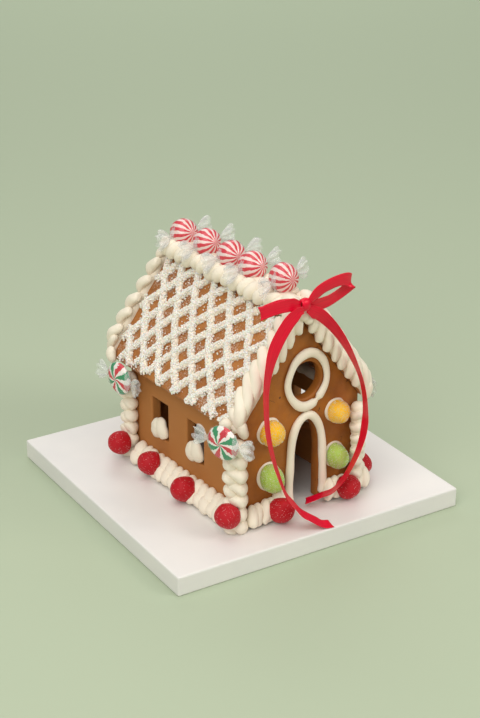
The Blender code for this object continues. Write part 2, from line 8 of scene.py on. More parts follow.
import bmesh
import bpy
import numpy as np
from bpy.props import FloatProperty, FloatVectorProperty, IntProperty, PointerProperty
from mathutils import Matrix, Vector


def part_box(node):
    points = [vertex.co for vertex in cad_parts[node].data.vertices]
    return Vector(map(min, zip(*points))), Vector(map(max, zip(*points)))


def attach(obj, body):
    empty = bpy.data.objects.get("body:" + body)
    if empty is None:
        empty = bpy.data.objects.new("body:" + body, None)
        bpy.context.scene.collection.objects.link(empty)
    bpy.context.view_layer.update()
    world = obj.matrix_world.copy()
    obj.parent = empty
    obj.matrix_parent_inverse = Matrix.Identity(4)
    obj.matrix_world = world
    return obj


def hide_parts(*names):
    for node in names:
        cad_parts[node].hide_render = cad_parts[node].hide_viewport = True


bl_info = {
    "name": "Gingerbread House",
    "version": (1, 0, 0),
    "blender": (4, 5, 0),
    "location": "3D View > Sidebar > Gingerbread",
    "description": "Bakes, ices and decorates a gingerbread house on its board",
    "category": "Add Mesh",
}

MM = 0.001
X, Y, Z = np.eye(3)
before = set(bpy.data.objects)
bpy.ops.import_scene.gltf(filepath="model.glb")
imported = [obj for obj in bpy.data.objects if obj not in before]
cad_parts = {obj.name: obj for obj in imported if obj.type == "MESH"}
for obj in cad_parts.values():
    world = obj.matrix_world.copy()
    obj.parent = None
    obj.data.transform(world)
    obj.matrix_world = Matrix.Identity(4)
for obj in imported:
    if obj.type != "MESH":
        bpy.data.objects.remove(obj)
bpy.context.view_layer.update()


def vec(*numbers):
    return np.array(numbers, float)


def span(node):
    """The lowest and highest corner of a frame node, as arrays."""
    low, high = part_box(node)
    return np.array(low), np.array(high)


BOARD_TOP = span("board")[1][2]
WALLS_LOW, WALLS_HIGH = span("front_wall")[0], span("back_wall")[1]
ROOF_LOW, ROOF_HIGH = span("roof_left")[0], span("roof_right")[1]
RIDGE_X = (ROOF_LOW[0] + ROOF_HIGH[0]) / 2
RIDGE_Z = ROOF_HIGH[2]
EAVE_Z = span("lattice_left")[0][2]
PITCH = math.atan(75 / 56.5)
SLOPE_LENGTH = (RIDGE_Z - EAVE_Z) / math.sin(PITCH)
SIDES = (("left", -1), ("right", 1))

BEAD = 6.6 * MM  # thickness of the bead round the door and the round window
DOOR_SPRING = BOARD_TOP + 44 * MM  # height at which the doorway's arch starts
DAB_OFFSET = vec(0.2, 0.6, 0.4) * MM  # from the middle of a wall's gumdrop to that of its dab
ICING_FLOOR = BOARD_TOP + 0.1 * MM
FOOT_STAND_OFF = 4.6 * MM  # from a wall to the middle of the rope at its foot
GROOVE_WIDTH = 0.28  # in radians round a lobe's crest
LOOSE_PEARLS = 520  # nonpareils that lie loose on each slope
BALL_RADIUS = 11.5 * MM
BALL_OFF_RIDGE = 1.8 * MM
BALL_SINKS = (0, 3, 2.8, 2.8, 4.2)  # how deep each ball sits in the ridge's icing, front to back, in mm
MINT_RADII = (13.5 * MM, 4.6 * MM)
FILM_REACH = 25.5 * MM  # from a sweet's middle to the end of its wrapper
FILM_GAP = 0.5 * MM  # between a sweet and its film
FILM_THICK = 0.08 * MM
FAN_FLATNESS = 0.42  # a wrapper end's depth as a share of its width
CUT_POINT = 8 * MM  # how far a tail's cut end is drawn out to a point


# ---------------------------------------------------------------- settings


def length(name, default, description, low=0.0001, high=0.3):
    said = {"name": name, "description": description, "default": default, "min": low, "max": high}
    return FloatProperty(**said, subtype="DISTANCE", unit="LENGTH")


def colour(name, default, description):
    said = {"name": name, "description": description, "default": default, "min": 0, "max": 1}
    return FloatVectorProperty(**said, size=3, subtype="COLOR")


def figure(name, default, description, kind=FloatProperty, **more):
    return kind(name=name, description=description, default=default, min=0, **more)


class BakedSettings(bpy.types.PropertyGroup):
    """Gingerbread and the board"""

    crumb: colour("Crumb", (0.46, 0.18, 0.042), "Colour of the baked dough")
    dark: colour("Browned", (0.29, 0.095, 0.018), "Colour of the browner patches")
    spice: colour("Spice", (0.055, 0.022, 0.012), "Colour of the specks of spice")
    edge: length("Edge rounding", 1.5 * MM, "Radius of the baked edges", 0, 0.004)
    board: colour("Board", (0.81, 0.79, 0.76), "Colour of the board's paper")


class IcingSettings(bpy.types.PropertyGroup):
    """Royal icing and nonpareils"""

    white: colour("Icing", (0.875, 0.76, 0.65), "Colour of the set icing")
    pearl: colour("Nonpareils", (0.95, 0.91, 0.85), "Colour of the small sugar balls")
    lump: length("Border lump", 9.7 * MM, "Distance between the lumps of the border ropes")
    coil: length("Column lump", 12 * MM, "Distance between the lumps of the corner columns")
    petal: length("Petal pitch", 11.9 * MM, "Distance between the petals down the roof's edges")
    dollop: length("Ridge pitch", 10.6 * MM, "Distance between the dollops along the ridge")
    strand: length("Strand", 5.8 * MM, "Width of a strand of the lattice")
    pearl_size: length("Nonpareil size", 2.0 * MM, "Diameter of a nonpareil", 0.0005, 0.004)
    pearls: figure("Nonpareils", 8600, "Nonpareils on each slope", IntProperty, max=9000)


class SweetSettings(bpy.types.PropertyGroup):
    """Gumdrops and peppermints"""

    red: colour("Red jelly", (0.50, 0.003, 0.012), "Colour of the red gumdrops")
    yellow: colour("Yellow jelly", (1.0, 0.54, 0.01), "Colour of the yellow gumdrops")
    green: colour("Green jelly", (0.43, 0.62, 0.09), "Colour of the green gumdrops")
    sugar: colour("Sugar", (0.92, 0.90, 0.86), "Colour of the sugar grains")
    mint_red: colour("Mint red", (0.62, 0.008, 0.03), "Colour of the red stripes")
    mint_green: colour("Mint green", (0.01, 0.26, 0.10), "Colour of the green stripes")
    mint_white: colour("Mint white", (0.90, 0.84, 0.80), "Colour of the white sugar")
    ball_white: colour("Ball white", (0.82, 0.64, 0.60), "Colour of the pale stripes of the balls")
    film: colour("Wrapper", (0.93, 0.95, 0.94), "Tint of the clear wrapper")
    grain: length("Sugar grain", 0.55 * MM, "Size of a sugar grain", 0.0002, 0.002)


class RibbonSettings(bpy.types.PropertyGroup):
    """The satin ribbon"""

    red: colour("Satin", (0.80, 0.0, 0.03), "Colour of the ribbon")
    width: length("Width", 10 * MM, "Width of the ribbon", 0.005, 0.02)
    thickness: length("Thickness", 0.35 * MM, "Thickness of the ribbon", 0.0001, 0.001)


class StageSettings(bpy.types.PropertyGroup):
    """Floor, light and camera"""

    floor: colour("Floor", (0.44, 0.51, 0.37), "Colour of the floor")
    key: figure("Key light", 14, "Power of the key light", unit="POWER")


SETTINGS = {
    "house_baked": BakedSettings,
    "house_icing": IcingSettings,
    "house_sweets": SweetSettings,
    "house_ribbon": RibbonSettings,
    "house_stage": StageSettings,
}


def settings(name):
    return getattr(bpy.context.scene, "house_" + name)


# ---------------------------------------------------------------- surfaces


def unit(vectors):
    return vectors / np.linalg.norm(vectors, axis=-1, keepdims=True)


def grid_quads(rings, sides, closed=True):
    """Quads between neighbouring rings of points: right round them if closed, else from side to side."""
    i, j = np.meshgrid(np.arange(rings - 1), np.arange(sides if closed else sides - 1), indexing="ij")
    right = (j + 1) % sides
    quads = np.stack([i * sides + j, i * sides + right, (i + 1) * sides + right, (i + 1) * sides + j], -1)
    return quads.reshape(-1, 4)


def closed_faces(rings, sides, copies=1):
    """The faces of closed surfaces made of rings and a point at each end: quads between the rings and a
    fan of triangles at each point. Each copy's points are its rings, then the first and last point."""
    k = np.arange(sides)
    first = np.stack([np.full(sides, rings * sides), (k + 1) % sides, k], -1)
    base = (rings - 1) * sides
    last = np.stack([np.full(sides, rings * sides + 1), base + k, base + (k + 1) % sides], -1)
    step = (np.arange(copies) * (rings * sides + 2))[:, None, None]
    quads = (grid_quads(rings, sides)[None] + step).reshape(-1, 4)
    fans = (np.concatenate([first, last])[None] + step).reshape(-1, 3)
    return quads, fans


def frame_round(axis):
    """Two directions across an axis, so that the three make a right-handed set."""
    axis = unit(np.asarray(axis, float))
    side = unit(np.cross(Z if abs(axis[2]) < 0.9 else X, axis))
    return side, np.cross(axis, side), axis


def round_ring(side, over, sides):
    """Directions round an axis: cos(v) to the side and sin(v) over it."""
    v = 2 * np.pi * np.arange(sides) / sides
    return side * np.cos(v)[:, None] + over * np.sin(v)[:, None]


def random_turns(count, random):
    """Rotation matrices, one for each of so many small shapes."""
    axes = np.linalg.qr(random.normal(size=(count, 3, 3)))[0]
    return axes * np.linalg.det(axes)[:, None, None]


def swept(paths, up, widths, heights, sides=14):
    """Closed tubes, all at once. Round each point p of a path stands an ellipse,
    p + cos(v) width / 2 to the side + sin(v) height / 2 upwards, and the first and last point of the path
    close the ends. Paths are (tube, point, 3), and sizes (tube, inner point) or one number."""
    tangents = unit(paths[:, 2:] - paths[:, :-2])
    inner = paths[:, 1:-1]
    over = unit(up - tangents * (up * tangents).sum(-1, keepdims=True))
    side = np.cross(over, tangents)
    v = 2 * np.pi * np.arange(sides) / sides
    widths, heights = (np.broadcast_to(size, inner.shape[:2])[..., None] for size in (widths, heights))
    ring = (
        inner[:, :, None]
        + side[:, :, None] * (np.cos(v) * widths / 2)[..., None]
        + over[:, :, None] * (np.sin(v) * heights / 2)[..., None]
    )
    count, rings = inner.shape[:2]
    points = np.concatenate([ring.reshape(count, -1, 3), paths[:, :1], paths[:, -1:]], 1)
    return points.reshape(-1, 3), closed_faces(rings, sides, count)


def lobes(starts, bends, ends, widths, heights, up, blunt=(0.5, 0.5), rings=12, sides=16, groove=0.0):
    """Fat dabs of icing, all at once. The middle line of each is the parabola from start to end with its
    control point at the bend. Its width is u^a (1 - u)^b, scaled to 1 at the widest, and a groove
    makes that dip along the crest by a share that grows towards the end."""
    t = (np.arange(rings + 2) - 0.5) / rings
    u = (1 - np.cos(np.pi * np.clip(t, 0, 1))) / 2
    u[0], u[-1] = 0, 1
    u = u[:, None]
    starts, bends, ends = starts[:, None], bends[:, None], ends[:, None]
    paths = (1 - u) ** 2 * starts + 2 * u * (1 - u) * bends + u**2 * ends
    a, b = blunt
    inner = u[1:-1, 0]
    profile = inner**a * (1 - inner) ** b
    profile /= (a / (a + b)) ** a * (b / (a + b)) ** b
    widths, heights = (np.broadcast_to(s, len(paths))[:, None] * profile for s in (widths, heights))
    points, faces = swept(paths, up, widths, heights, sides)
    if groove:
        v = 2 * np.pi * np.arange(sides) / sides
        dip = groove * np.exp(-(((v - np.pi / 2) / GROOVE_WIDTH) ** 2))[None, :] * inner[:, None]
        each = points.reshape(len(paths), -1, 3)
        ring = each[:, : rings * sides].reshape(len(paths), rings, sides, 3)
        ring -= (ring - paths[:, 1:-1, None]) * dip[None, :, :, None]
    return points, faces


def uneven(points, amount, size, seed):
    """Moves points by slow waves: along each axis, amount times a sum of three sines of the place, whose
    wavelengths are about the size given."""
    random = np.random.default_rng(seed)
    waves = random.normal(size=(3, 3, 3)) * 2 * np.pi / size / 1.7
    phases = random.uniform(0, 2 * np.pi, (3, 3))
    return points + amount / 1.7 * np.sin(np.einsum("nk,awk->naw", points, waves) + phases).sum(-1)


def quads_only(points, quads):
    """A surface without triangles."""
    return points.reshape(-1, 3), (quads, np.zeros((0, 3), int))


def spread(first, last, count, random, scatter):
    """The middles of so many equal parts of a run, each moved a little."""
    return first + (last - first) * (np.arange(count) + 0.5) / count + random.normal(0, scatter, count)


def join(*surfaces):
    """Several (points, (quads, triangles)) surfaces as one."""
    points, quads, fans, base = [], [], [], 0
    for places, (four, three) in surfaces:
        points.append(places)
        quads.append(four + base)
        fans.append(three + base)
        base += len(places)
    return np.concatenate(points), (np.concatenate(quads), np.concatenate(fans))


def place_object(name, data):
    """A new object of the scene that shows the data."""
    made = bpy.data.objects.new(name, data)
    bpy.context.scene.collection.objects.link(made)
    return made


def corner_points(mesh):
    """The point at each corner of each face."""
    points = np.zeros(len(mesh.loops), np.int32)
    mesh.loops.foreach_get("vertex_index", points)
    return points


def set_uv(mesh, uv):
    """Gives each corner of each face its place on the UV map."""
    mesh.uv_layers.new(name="UVMap").data.foreach_set("uv", uv.astype(np.float32).ravel())


def stand_in(piece, nodes=()):
    """Lets a piece ride on the frame in place of the nodes."""
    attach(piece, "root")
    if nodes:
        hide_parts(*nodes)


def add_piece(name, surface, skin, nodes=()):
    """Makes a smooth piece of a surface and a material."""
    points, (quads, fans) = surface
    mesh = bpy.data.meshes.new(name)
    mesh.from_pydata(points.tolist(), [], quads.tolist() + fans.tolist())
    mesh.shade_smooth()
    mesh.materials.append(skin)
    piece = place_object(name, mesh)
    stand_in(piece, nodes)
    return piece


def add_icing(name, surface, nodes=(), waves=None, floor=None):
    """Adds piped icing, uneven by waves (amount and length in mm, seed) and flat where it meets a
    floor."""
    points, faces = surface
    if waves:
        points = uneven(points, waves[0] * MM, waves[1] * MM, waves[2])
    if floor is not None:
        points[:, 2] = np.maximum(points[:, 2], floor)
    add_piece(name, (points, faces), royal_icing(), nodes)


def solidify(piece, thickness):
    """Gives a thin surface its thickness, half to each side."""
    solid = piece.modifiers.new("thickness", "SOLIDIFY")
    solid.thickness = thickness
    solid.offset = 0


def slope(side, down, out, y):
    """Points on the side's roof: a way down the slope from the ridge, out from its face, and along Y."""
    down, out, y = np.broadcast_arrays(down, out, y)
    x = RIDGE_X + side * (down * math.cos(PITCH) + out * math.sin(PITCH))
    z = RIDGE_Z - down * math.sin(PITCH) + out * math.cos(PITCH)
    return np.stack([x, y, z], -1)


def off_slope(side, out, y=0.0):
    """A step out from the side's roof and along Y, from wherever one stands on it."""
    return slope(side, 0, out, y) - slope(side, 0, 0, 0)


# ---------------------------------------------------------------- materials


class Skin:
    """A material's node tree, with short ways to add what it needs."""

    def __init__(self, name, base, roughness, place="Object", **sockets):
        self.material = bpy.data.materials.new(name)
        self.material.use_nodes = True
        self.tree = self.material.node_tree
        self.shader = self.tree.nodes["Principled BSDF"]
        self.shader.inputs["Base Color"].default_value = (*base, 1)
        self.shader.inputs["Roughness"].default_value = roughness
        for socket, value in sockets.items():
            self.shader.inputs[socket.replace("_", " ")].default_value = value
        self.place = self.tree.nodes.new("ShaderNodeTexCoord").outputs[place]
        self.bumped = None

    def link(self, value, socket):
        if isinstance(value, bpy.types.NodeSocket):
            self.tree.links.new(value, socket)
        elif hasattr(value, "__len__"):
            socket.default_value = (*value, 1)
        else:
            socket.default_value = value

    def node(self, kind, **inputs):
        """A new node with its inputs set or linked."""
        node = self.tree.nodes.new("ShaderNode" + kind)
        for name, value in inputs.items():
            self.link(value, node.inputs[name])
        return node

    def noise(self, size, detail=2.0, roughness=0.5, distortion=0.0, stretch=None):
        """Noise whose blobs are about the size given, in metres, divided by the stretch."""
        where = self.place
        if stretch:
            mapping = self.node("Mapping", Vector=where)
            mapping.inputs["Scale"].default_value = stretch
            where = mapping.outputs["Vector"]
        node = self.node("TexNoise", Vector=where, Scale=1 / size, Detail=detail, Roughness=roughness)
        self.link(distortion, node.inputs["Distortion"])
        return node.outputs["Fac"]

    def cells(self, size, feature="F1"):
        """The distance to the middle of the nearest cell, as a share of the size."""
        node = self.node("TexVoronoi", Vector=self.place, Scale=1 / size)
        node.feature = feature
        return node.outputs["Distance"]

    def math(self, operation, *values):
        node = self.node("Math")
        node.operation = operation
        for value, socket in zip(values, node.inputs):
            self.link(value, socket)
        return node.outputs[0]

    def ramp(self, value, low, high, to_low=0.0, to_high=1.0):
        """A smooth step from one level to another."""
        node = self.node("MapRange")
        node.interpolation_type = "SMOOTHSTEP"
        for given, socket in zip((value, low, high, to_low, to_high), node.inputs):
            self.link(given, socket)
        return node.outputs[0]

    def mix(self, share, a, b):
        node = self.node("Mix")
        node.data_type = "RGBA"
        for value, socket in ((share, 0), (a, 6), (b, 7)):
            self.link(value, node.inputs[socket])
        return node.outputs[2]

    def mottle(self, pattern, low, high, base, other):
        """Paints the base colour, and the other where the pattern rises from low to high."""
        self.paint(self.mix(self.ramp(pattern, low, high), base, other))

    def bump(self, height, strength, distance):
        node = self.node("Bump", Height=height, Strength=strength, Distance=distance)
        if self.bumped:
            self.link(self.bumped, node.inputs["Normal"])
        self.bumped = node.outputs["Normal"]
        self.link(self.bumped, self.shader.inputs["Normal"])

    def paint(self, value):
        self.link(value, self.shader.inputs["Base Color"])

    def rough(self, value):
        self.link(value, self.shader.inputs["Roughness"])


def toned(base, *shares):
    """A colour with each of its parts scaled."""
    return tuple(part * share for part, share in zip(base, shares))


def once(maker):
    """Keeps a material after its first making, so that pieces share it."""

    def get():
        name = maker.__name__
        return bpy.data.materials.get(name) or maker(name)

    return get


def baked(name, dusting, crumb=None):
    """Baked dough: slow brown mottling, fine grain, dark specks of spice, small pits and short cracks,
    under a dusting of fine sugar by the share given."""
    look = settings("baked")
    crumb = crumb or tuple(look.crumb)
    skin = Skin(name, crumb, 0.62, Specular_IOR_Level=0.4)
    broad = skin.ramp(skin.noise(38 * MM, 3, 0.55), 0.34, 0.68)
    cloudy = skin.ramp(skin.noise(8 * MM, 4, 0.6), 0.35, 0.72)
    share = skin.math("MULTIPLY_ADD", broad, 0.55, skin.math("MULTIPLY", cloudy, 0.4))
    brown = skin.mix(share, crumb, look.dark)
    fine = skin.noise(1.1 * MM, 3, 0.7)
    brown = skin.mix(skin.ramp(fine, 0.50, 0.75, 0, 0.45), brown, look.dark)
    spots = skin.cells(3.2 * MM)
    speck = skin.ramp(spots, 0.05, 0.09, 1, 0)
    speck = skin.math("MULTIPLY", speck, skin.ramp(skin.noise(11 * MM, 1), 0.36, 0.52))
    brown = skin.mix(skin.math("MULTIPLY", speck, 0.8), brown, look.spice)
    line = skin.math("ABSOLUTE", skin.math("SUBTRACT", skin.noise(13 * MM, 2, 0.5, 0.6), 0.5))
    patches = skin.ramp(skin.noise(9 * MM, 0), 0.60, 0.66)
    crack = skin.math("MULTIPLY", skin.ramp(line, 0.002, 0.007, 1, 0), patches)
    brown = skin.mix(skin.math("MULTIPLY", crack, 0.9), brown, look.spice)
    if dusting:
        powder = skin.ramp(skin.noise(1.3 * MM, 4, 0.75), 0.50, 0.62)
        drifts = skin.ramp(skin.noise(19 * MM, 2), 0.46, 0.62, 0.04, dusting)
        powder = skin.math("MULTIPLY", powder, drifts)
        brown = skin.mix(powder, brown, settings("icing").pearl)
    skin.paint(brown)
    skin.rough(skin.ramp(skin.noise(6 * MM, 3), 0.3, 0.7, 0.5, 0.75))
    skin.bump(skin.noise(14 * MM, 2), 0.35, 1.2 * MM)
    skin.bump(skin.noise(0.9 * MM, 4, 0.65), 0.3, 0.25 * MM)
    skin.bump(skin.ramp(skin.cells(3.1 * MM), 0.05, 0.14), 0.35, 0.25 * MM)
    skin.bump(crack, -0.4, 0.4 * MM)
    return skin.material


@once
def gingerbread(name):
    return baked(name, 0)


@once
def gable_gingerbread_painted_shade(name):
    """The gables: a darker, redder copy of the dough, painted shade from the rakes and painted warm
    bounce light.
    """
    return baked(name, 0, toned(settings("baked").crumb, 0.88, 0.74, 0.36))


@once
def dusted_gingerbread(name):
    return baked(name, 0.55)


@once
def royal_icing(name):
    """Set icing: warm white, faintly translucent, with a soft skin."""
    base, gloss = settings("icing").white, 0.42
    skin = Skin(name, base, gloss, Subsurface_Weight=0.25, Specular_IOR_Level=0.45)
    skin.shader.inputs["Subsurface Scale"].default_value = 2.5 * MM
    skin.shader.inputs["Subsurface Radius"].default_value = (1.0, 0.62, 0.35)
    skin.mottle(skin.noise(11 * MM, 2), 0.38, 0.68, base, toned(base, 0.955, 0.91, 0.82))
    skin.rough(skin.ramp(skin.noise(3 * MM, 2), 0.3, 0.7, gloss - 0.06, gloss + 0.12))
    skin.bump(skin.noise(2.6 * MM, 2), 0.14, 0.5 * MM)
    skin.bump(skin.noise(0.5 * MM, 2), 0.08, 0.08 * MM)
    return skin.material


@once
def nonpareil(name):
    """Hard white sugar balls."""
    skin = Skin(name, settings("icing").pearl, 0.5, Subsurface_Weight=0.15, Subsurface_Scale=1 * MM)
    skin.mottle(skin.noise(2 * MM, 1), 0.4, 0.7, settings("icing").pearl, settings("icing").white)
    skin.bump(skin.noise(0.4 * MM, 2), 0.2, 0.1 * MM)
    return skin.material


@once
def board_paper(name):
    """White embossed paper over card: a faint leather grain and a satin finish."""
    look = settings("baked")
    skin = Skin(name, look.board, 0.42, Specular_IOR_Level=0.5)
    skin.mottle(skin.noise(60 * MM, 2), 0.35, 0.7, look.board, toned(look.board, 0.95, 0.955, 0.965))
    skin.bump(skin.cells(1.6 * MM, "SMOOTH_F1"), 0.10, 0.15 * MM)
    skin.bump(skin.noise(30 * MM, 2), 0.2, 0.8 * MM)
    return skin.material


def jelly(name, base, frost):
    """Sugared jelly: frosted with fine sugar, so the colour is paler where the coat is thicker."""
    skin = Skin(name, base, 0.5, Subsurface_Weight=0.3, Subsurface_Scale=3 * MM, Specular_IOR_Level=0.3)
    grains = skin.cells(0.62 * MM)
    coat = skin.ramp(skin.noise(4.5 * MM, 3), 0.35, 0.7, 0.25 * frost, frost)
    pale = skin.math("MULTIPLY", skin.ramp(grains, 0.18, 0.42, 1, 0), coat)
    skin.paint(skin.mix(pale, base, settings("sweets").sugar))
    skin.bump(skin.ramp(grains, 0.1, 0.6, 1, 0), 0.7, 0.25 * MM)
    skin.bump(skin.noise(2.5 * MM, 2), 0.3, 0.5 * MM)
    return skin.material


@once
def red_jelly(name):
    return jelly(name, settings("sweets").red, 0.02)


@once
def yellow_jelly(name):
    return jelly(name, settings("sweets").yellow, 0.18)


@once
def green_jelly(name):
    return jelly(name, settings("sweets").green, 0.34)


@once
def sugar_grain(name):
    skin = Skin(name, settings("sweets").sugar, 0.22, Specular_IOR_Level=0.6)
    skin.paint(skin.mix(skin.noise(1 * MM, 0), settings("sweets").sugar, (0.75, 0.74, 0.72)))
    return skin.material


def peppermint(name, stripes, swirl, white, colours, width):
    """Boiled sugar with stripes that run from pole to pole. A stripe is where
    sin(stripes u + swirl v + a little noise) passes a level, u and v being the UV map's two ways."""
    skin = Skin(name, white, 0.26, place="UV", Coat_Weight=0.2, Subsurface_Weight=0.1)
    skin.shader.inputs["Subsurface Scale"].default_value = 2 * MM
    across, along = skin.node("SeparateXYZ", Vector=skin.place).outputs[:2]
    skin.place = skin.node("TexCoord").outputs["Object"]
    wander = skin.math("MULTIPLY_ADD", skin.noise(3.5 * MM, 3, 0.6), 2.4, -1.2)
    curl = skin.math("MULTIPLY", skin.math("SINE", skin.math("MULTIPLY", along, math.pi)), swirl)
    angle = skin.math("MULTIPLY_ADD", across, 2 * math.pi * stripes, skin.math("ADD", curl, wander))
    finish = white
    for place, tint in enumerate(colours):
        turned = skin.math("ADD", angle, 2 * math.pi * place / len(colours))
        stripe = skin.ramp(skin.math("SINE", turned), width, width + 0.14)
        finish = skin.mix(stripe, finish, tint)
    skin.paint(finish)
    skin.bump(skin.noise(2.2 * MM, 2), 0.25, 0.4 * MM)
    return skin.material


@once
def striped_ball(name):
    look = settings("sweets")
    return peppermint(name, 12, 1.8, look.ball_white, (look.mint_red,), -0.18)


@once
def starlight(name):
    look = settings("sweets")
    return peppermint(name, 4, 2.8, look.mint_white, (look.mint_red, look.mint_green), 0.5)


def clear_film(name, alpha, gloss):
    skin = Skin(name, settings("sweets").film, gloss, Alpha=alpha, Specular_IOR_Level=1.0, IOR=1.5)
    skin.bump(skin.noise(3.2 * MM, 3, 0.6, 1.5), 0.8, 0.8 * MM)
    return skin.material


@once
def wrapper_fan(name):
    """Crinkled cellophane seen through several layers."""
    return clear_film(name, 0.20, 0.12)


@once
def wrapper_skin(name):
    """A single tight layer of cellophane."""
    return clear_film(name, 0.05, 0.06)


@once
def satin(name):
    """Red satin: a bright sheen across fine threads that run along the band."""
    look = settings("ribbon")
    skin = Skin(name, look.red, 0.36, "UV", Specular_IOR_Level=0.35, Sheen_Weight=0.04, Anisotropic=0.4)
    skin.shader.inputs["Sheen Tint"].default_value = (1.0, 0.25, 0.3, 1)
    threads = skin.noise(1.0, 3, 0.6, 0.0, (30, 900, 1))
    skin.mottle(threads, 0.35, 0.7, look.red, toned(look.red, 0.86, 0.85, 0.86))
    skin.bump(threads, 0.08, 0.04 * MM)
    skin.bump(skin.noise(1.0, 2, 0.5, 0.0, (900, 60, 1)), 0.05, 0.05 * MM)
    return skin.material


# ---------------------------------------------------------------- panels and board


def merged_copy(node, name):
    """A copy of a frame node's mesh with its loose triangles merged into whole faces."""
    shape = bmesh.new()
    shape.from_mesh(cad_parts[node].data)
    bmesh.ops.remove_doubles(shape, verts=shape.verts, dist=0.01 * MM)
    bmesh.ops.dissolve_limit(shape, angle_limit=math.radians(2), verts=shape.verts, edges=shape.edges)
    mesh = bpy.data.meshes.new(name)
    shape.to_mesh(mesh)
    shape.free()
    mesh.materials.clear()
    return mesh


class AddGingerbread(bpy.types.Operator):
    """Bake the four walls and the two slabs of the roof, with soft rounded edges"""

    bl_idname = "house.add_gingerbread"
    bl_label = "Gingerbread Panels"

    def execute(self, context):
        # The gables take the darker, redder copy of the dough: painted shade and painted warm bounce
        # light.
        panels = {"front_wall": gable_gingerbread_painted_shade, "back_wall": gable_gingerbread_painted_shade}
        panels |= {"left_wall": gingerbread, "right_wall": gingerbread}
        panels |= {"roof_left": dusted_gingerbread, "roof_right": dusted_gingerbread}
        for node, dough in panels.items():
            mesh = merged_copy(node, "baked_" + node)
            mesh.materials.append(dough())
            mesh.shade_smooth()
            piece = place_object("baked_" + node, mesh)
            soften = piece.modifiers.new("baked edges", "BEVEL")
            soften.width = settings("baked").edge
            soften.segments = 3
            soften.limit_method = "ANGLE"
            soften.harden_normals = True
            stand_in(piece, [node])
        return {"FINISHED"}


class AddBoard(bpy.types.Operator):
    """Cover the board with its white paper"""

    bl_idname = "house.add_board"
    bl_label = "Board"

    def execute(self, context):
        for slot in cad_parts["board"].material_slots:
            slot.material = board_paper()
        return {"FINISHED"}


# ---------------------------------------------------------------- icing


def net(a, b):
    """The hand-piped net on a slope: the place (along Y, down) after so many meshes along each family of
    strands. Its meshes are about square, stand on a corner, and grow tighter towards the back."""
    along = 14 + 11.8 * a - 10 * b - 0.65 * a * a - 0.47 * a * b - 0.32 * b * b
    down = 66 + 13.7 * a + 12.5 * b - 0.23 * a * b - 0.23 * b * b
    return np.stack([along, down], -1) * MM


def strand_paths(seed, steps=30):
    """Slightly wandering middle lines of the strands, as (strand, point, (along Y, down)): the net's
    lines halfway between its holes, cut off at the slope's edges."""
    low, high = span("lattice_left")
    low_end = np.array([low[1] - 4 * MM, 9 * MM])
    high_end = np.array([high[1] + 4 * MM, SLOPE_LENGTH - 3.5 * MM])
    between, fine = np.arange(-8, 9)[:, None] + 0.5, np.linspace(-9, 9, 3000)[None]
    lines = np.concatenate([net(between, fine), net(fine, between)])
    inside = ((lines > low_end) & (lines < high_end)).all(-1)
    long_enough = inside.sum(1) > 60
    lines, inside = lines[long_enough], inside[long_enough]
    first = inside.argmax(1)[:, None]
    last = inside.shape[1] - 1 - inside[:, ::-1].argmax(1)[:, None]
    pick = np.rint(first + (last - first) * np.linspace(0, 1, steps)).astype(int)
    lines = np.take_along_axis(lines, pick[..., None], 1)
    phase = np.random.default_rng(seed).uniform(0, 2 * np.pi, (len(lines), 1, 2))
    reach = np.linalg.norm(lines[:, -1] - lines[:, 0], axis=1)[:, None, None]
    return lines + 0.55 * MM * np.sin(np.linspace(0, 1, steps)[None, :, None] * reach / (7 * MM) + phase)


class AddLattice(bpy.types.Operator):
    """Pipe the crossed strands over both slopes and stick nonpareils to them"""

    bl_idname = "house.add_lattice"
    bl_label = "Lattice and Nonpareils"

    def execute(self, context):
        look = settings("icing")
        for seed, (name, side) in enumerate(SIDES):
            paths = strand_paths(seed)
            count, steps = paths.shape[:2]
            random = np.random.default_rng(20 + seed)
            width = look.strand * (1 + 0.10 * random.standard_normal((count, steps - 2)))
            height = 5.2 * MM * (1 + 0.08 * random.standard_normal((count, steps - 2)))
            lines = slope(side, paths[..., 1], 0.6 * MM, paths[..., 0])
            strands = swept(lines, off_slope(side, 1.0), width, height, 10)
            add_icing("lattice_strands_" + name, strands, ["lattice_" + name])
            self.stick_pearls(name, side, paths, random)
        return {"FINISHED"}

    def stick_pearls(self, name, side, paths, random):
        """Scatters nonpareils over the strands' round tops, and a few loose ones over the slope."""
        look = settings("icing")
        count, steps = paths.shape[:2]
        reach = np.linalg.norm(paths[:, -1] - paths[:, 0], axis=1)
        total = look.pearls
        which = random.choice(count, total, p=reach / reach.sum())
        t = random.uniform(0, steps - 1.001, total)
        low = t.astype(int)
        share = (t - low)[:, None]
        spot = paths[which, low] * (1 - share) + paths[which, low + 1] * share
        along = unit(paths[which, low + 1] - paths[which, low])
        across = np.stack([-along[:, 1], along[:, 0]], -1)
        lean = random.uniform(-1.1, 1.1, total)
        spot = spot + across * (lean * look.strand / 2)[:, None]
        out = 0.8 * MM + 2.4 * MM * np.sqrt(np.clip(1 - lean**2, 0, 1))
        out = np.where(np.abs(lean) > 1, 0.7 * MM, out)
        y = random.uniform(*np.array(span("lattice_left"))[:, 1], LOOSE_PEARLS)
        down = SLOPE_LENGTH * random.uniform(0.08, 0.97, LOOSE_PEARLS) ** 1.5
        spot = np.concatenate([spot, np.stack([y, down], -1)])
        out = np.concatenate([out, np.full(LOOSE_PEARLS, 0.75 * MM)])
        places = slope(side, spot[:, 1], out, spot[:, 0])
        size = look.pearl_size / 2 * random.uniform(0.72, 1.18, len(places))
        size[total:] *= random.uniform(0.45, 0.9, LOOSE_PEARLS)
        add_piece("nonpareils_" + name, small_balls(places, size, random), nonpareil())


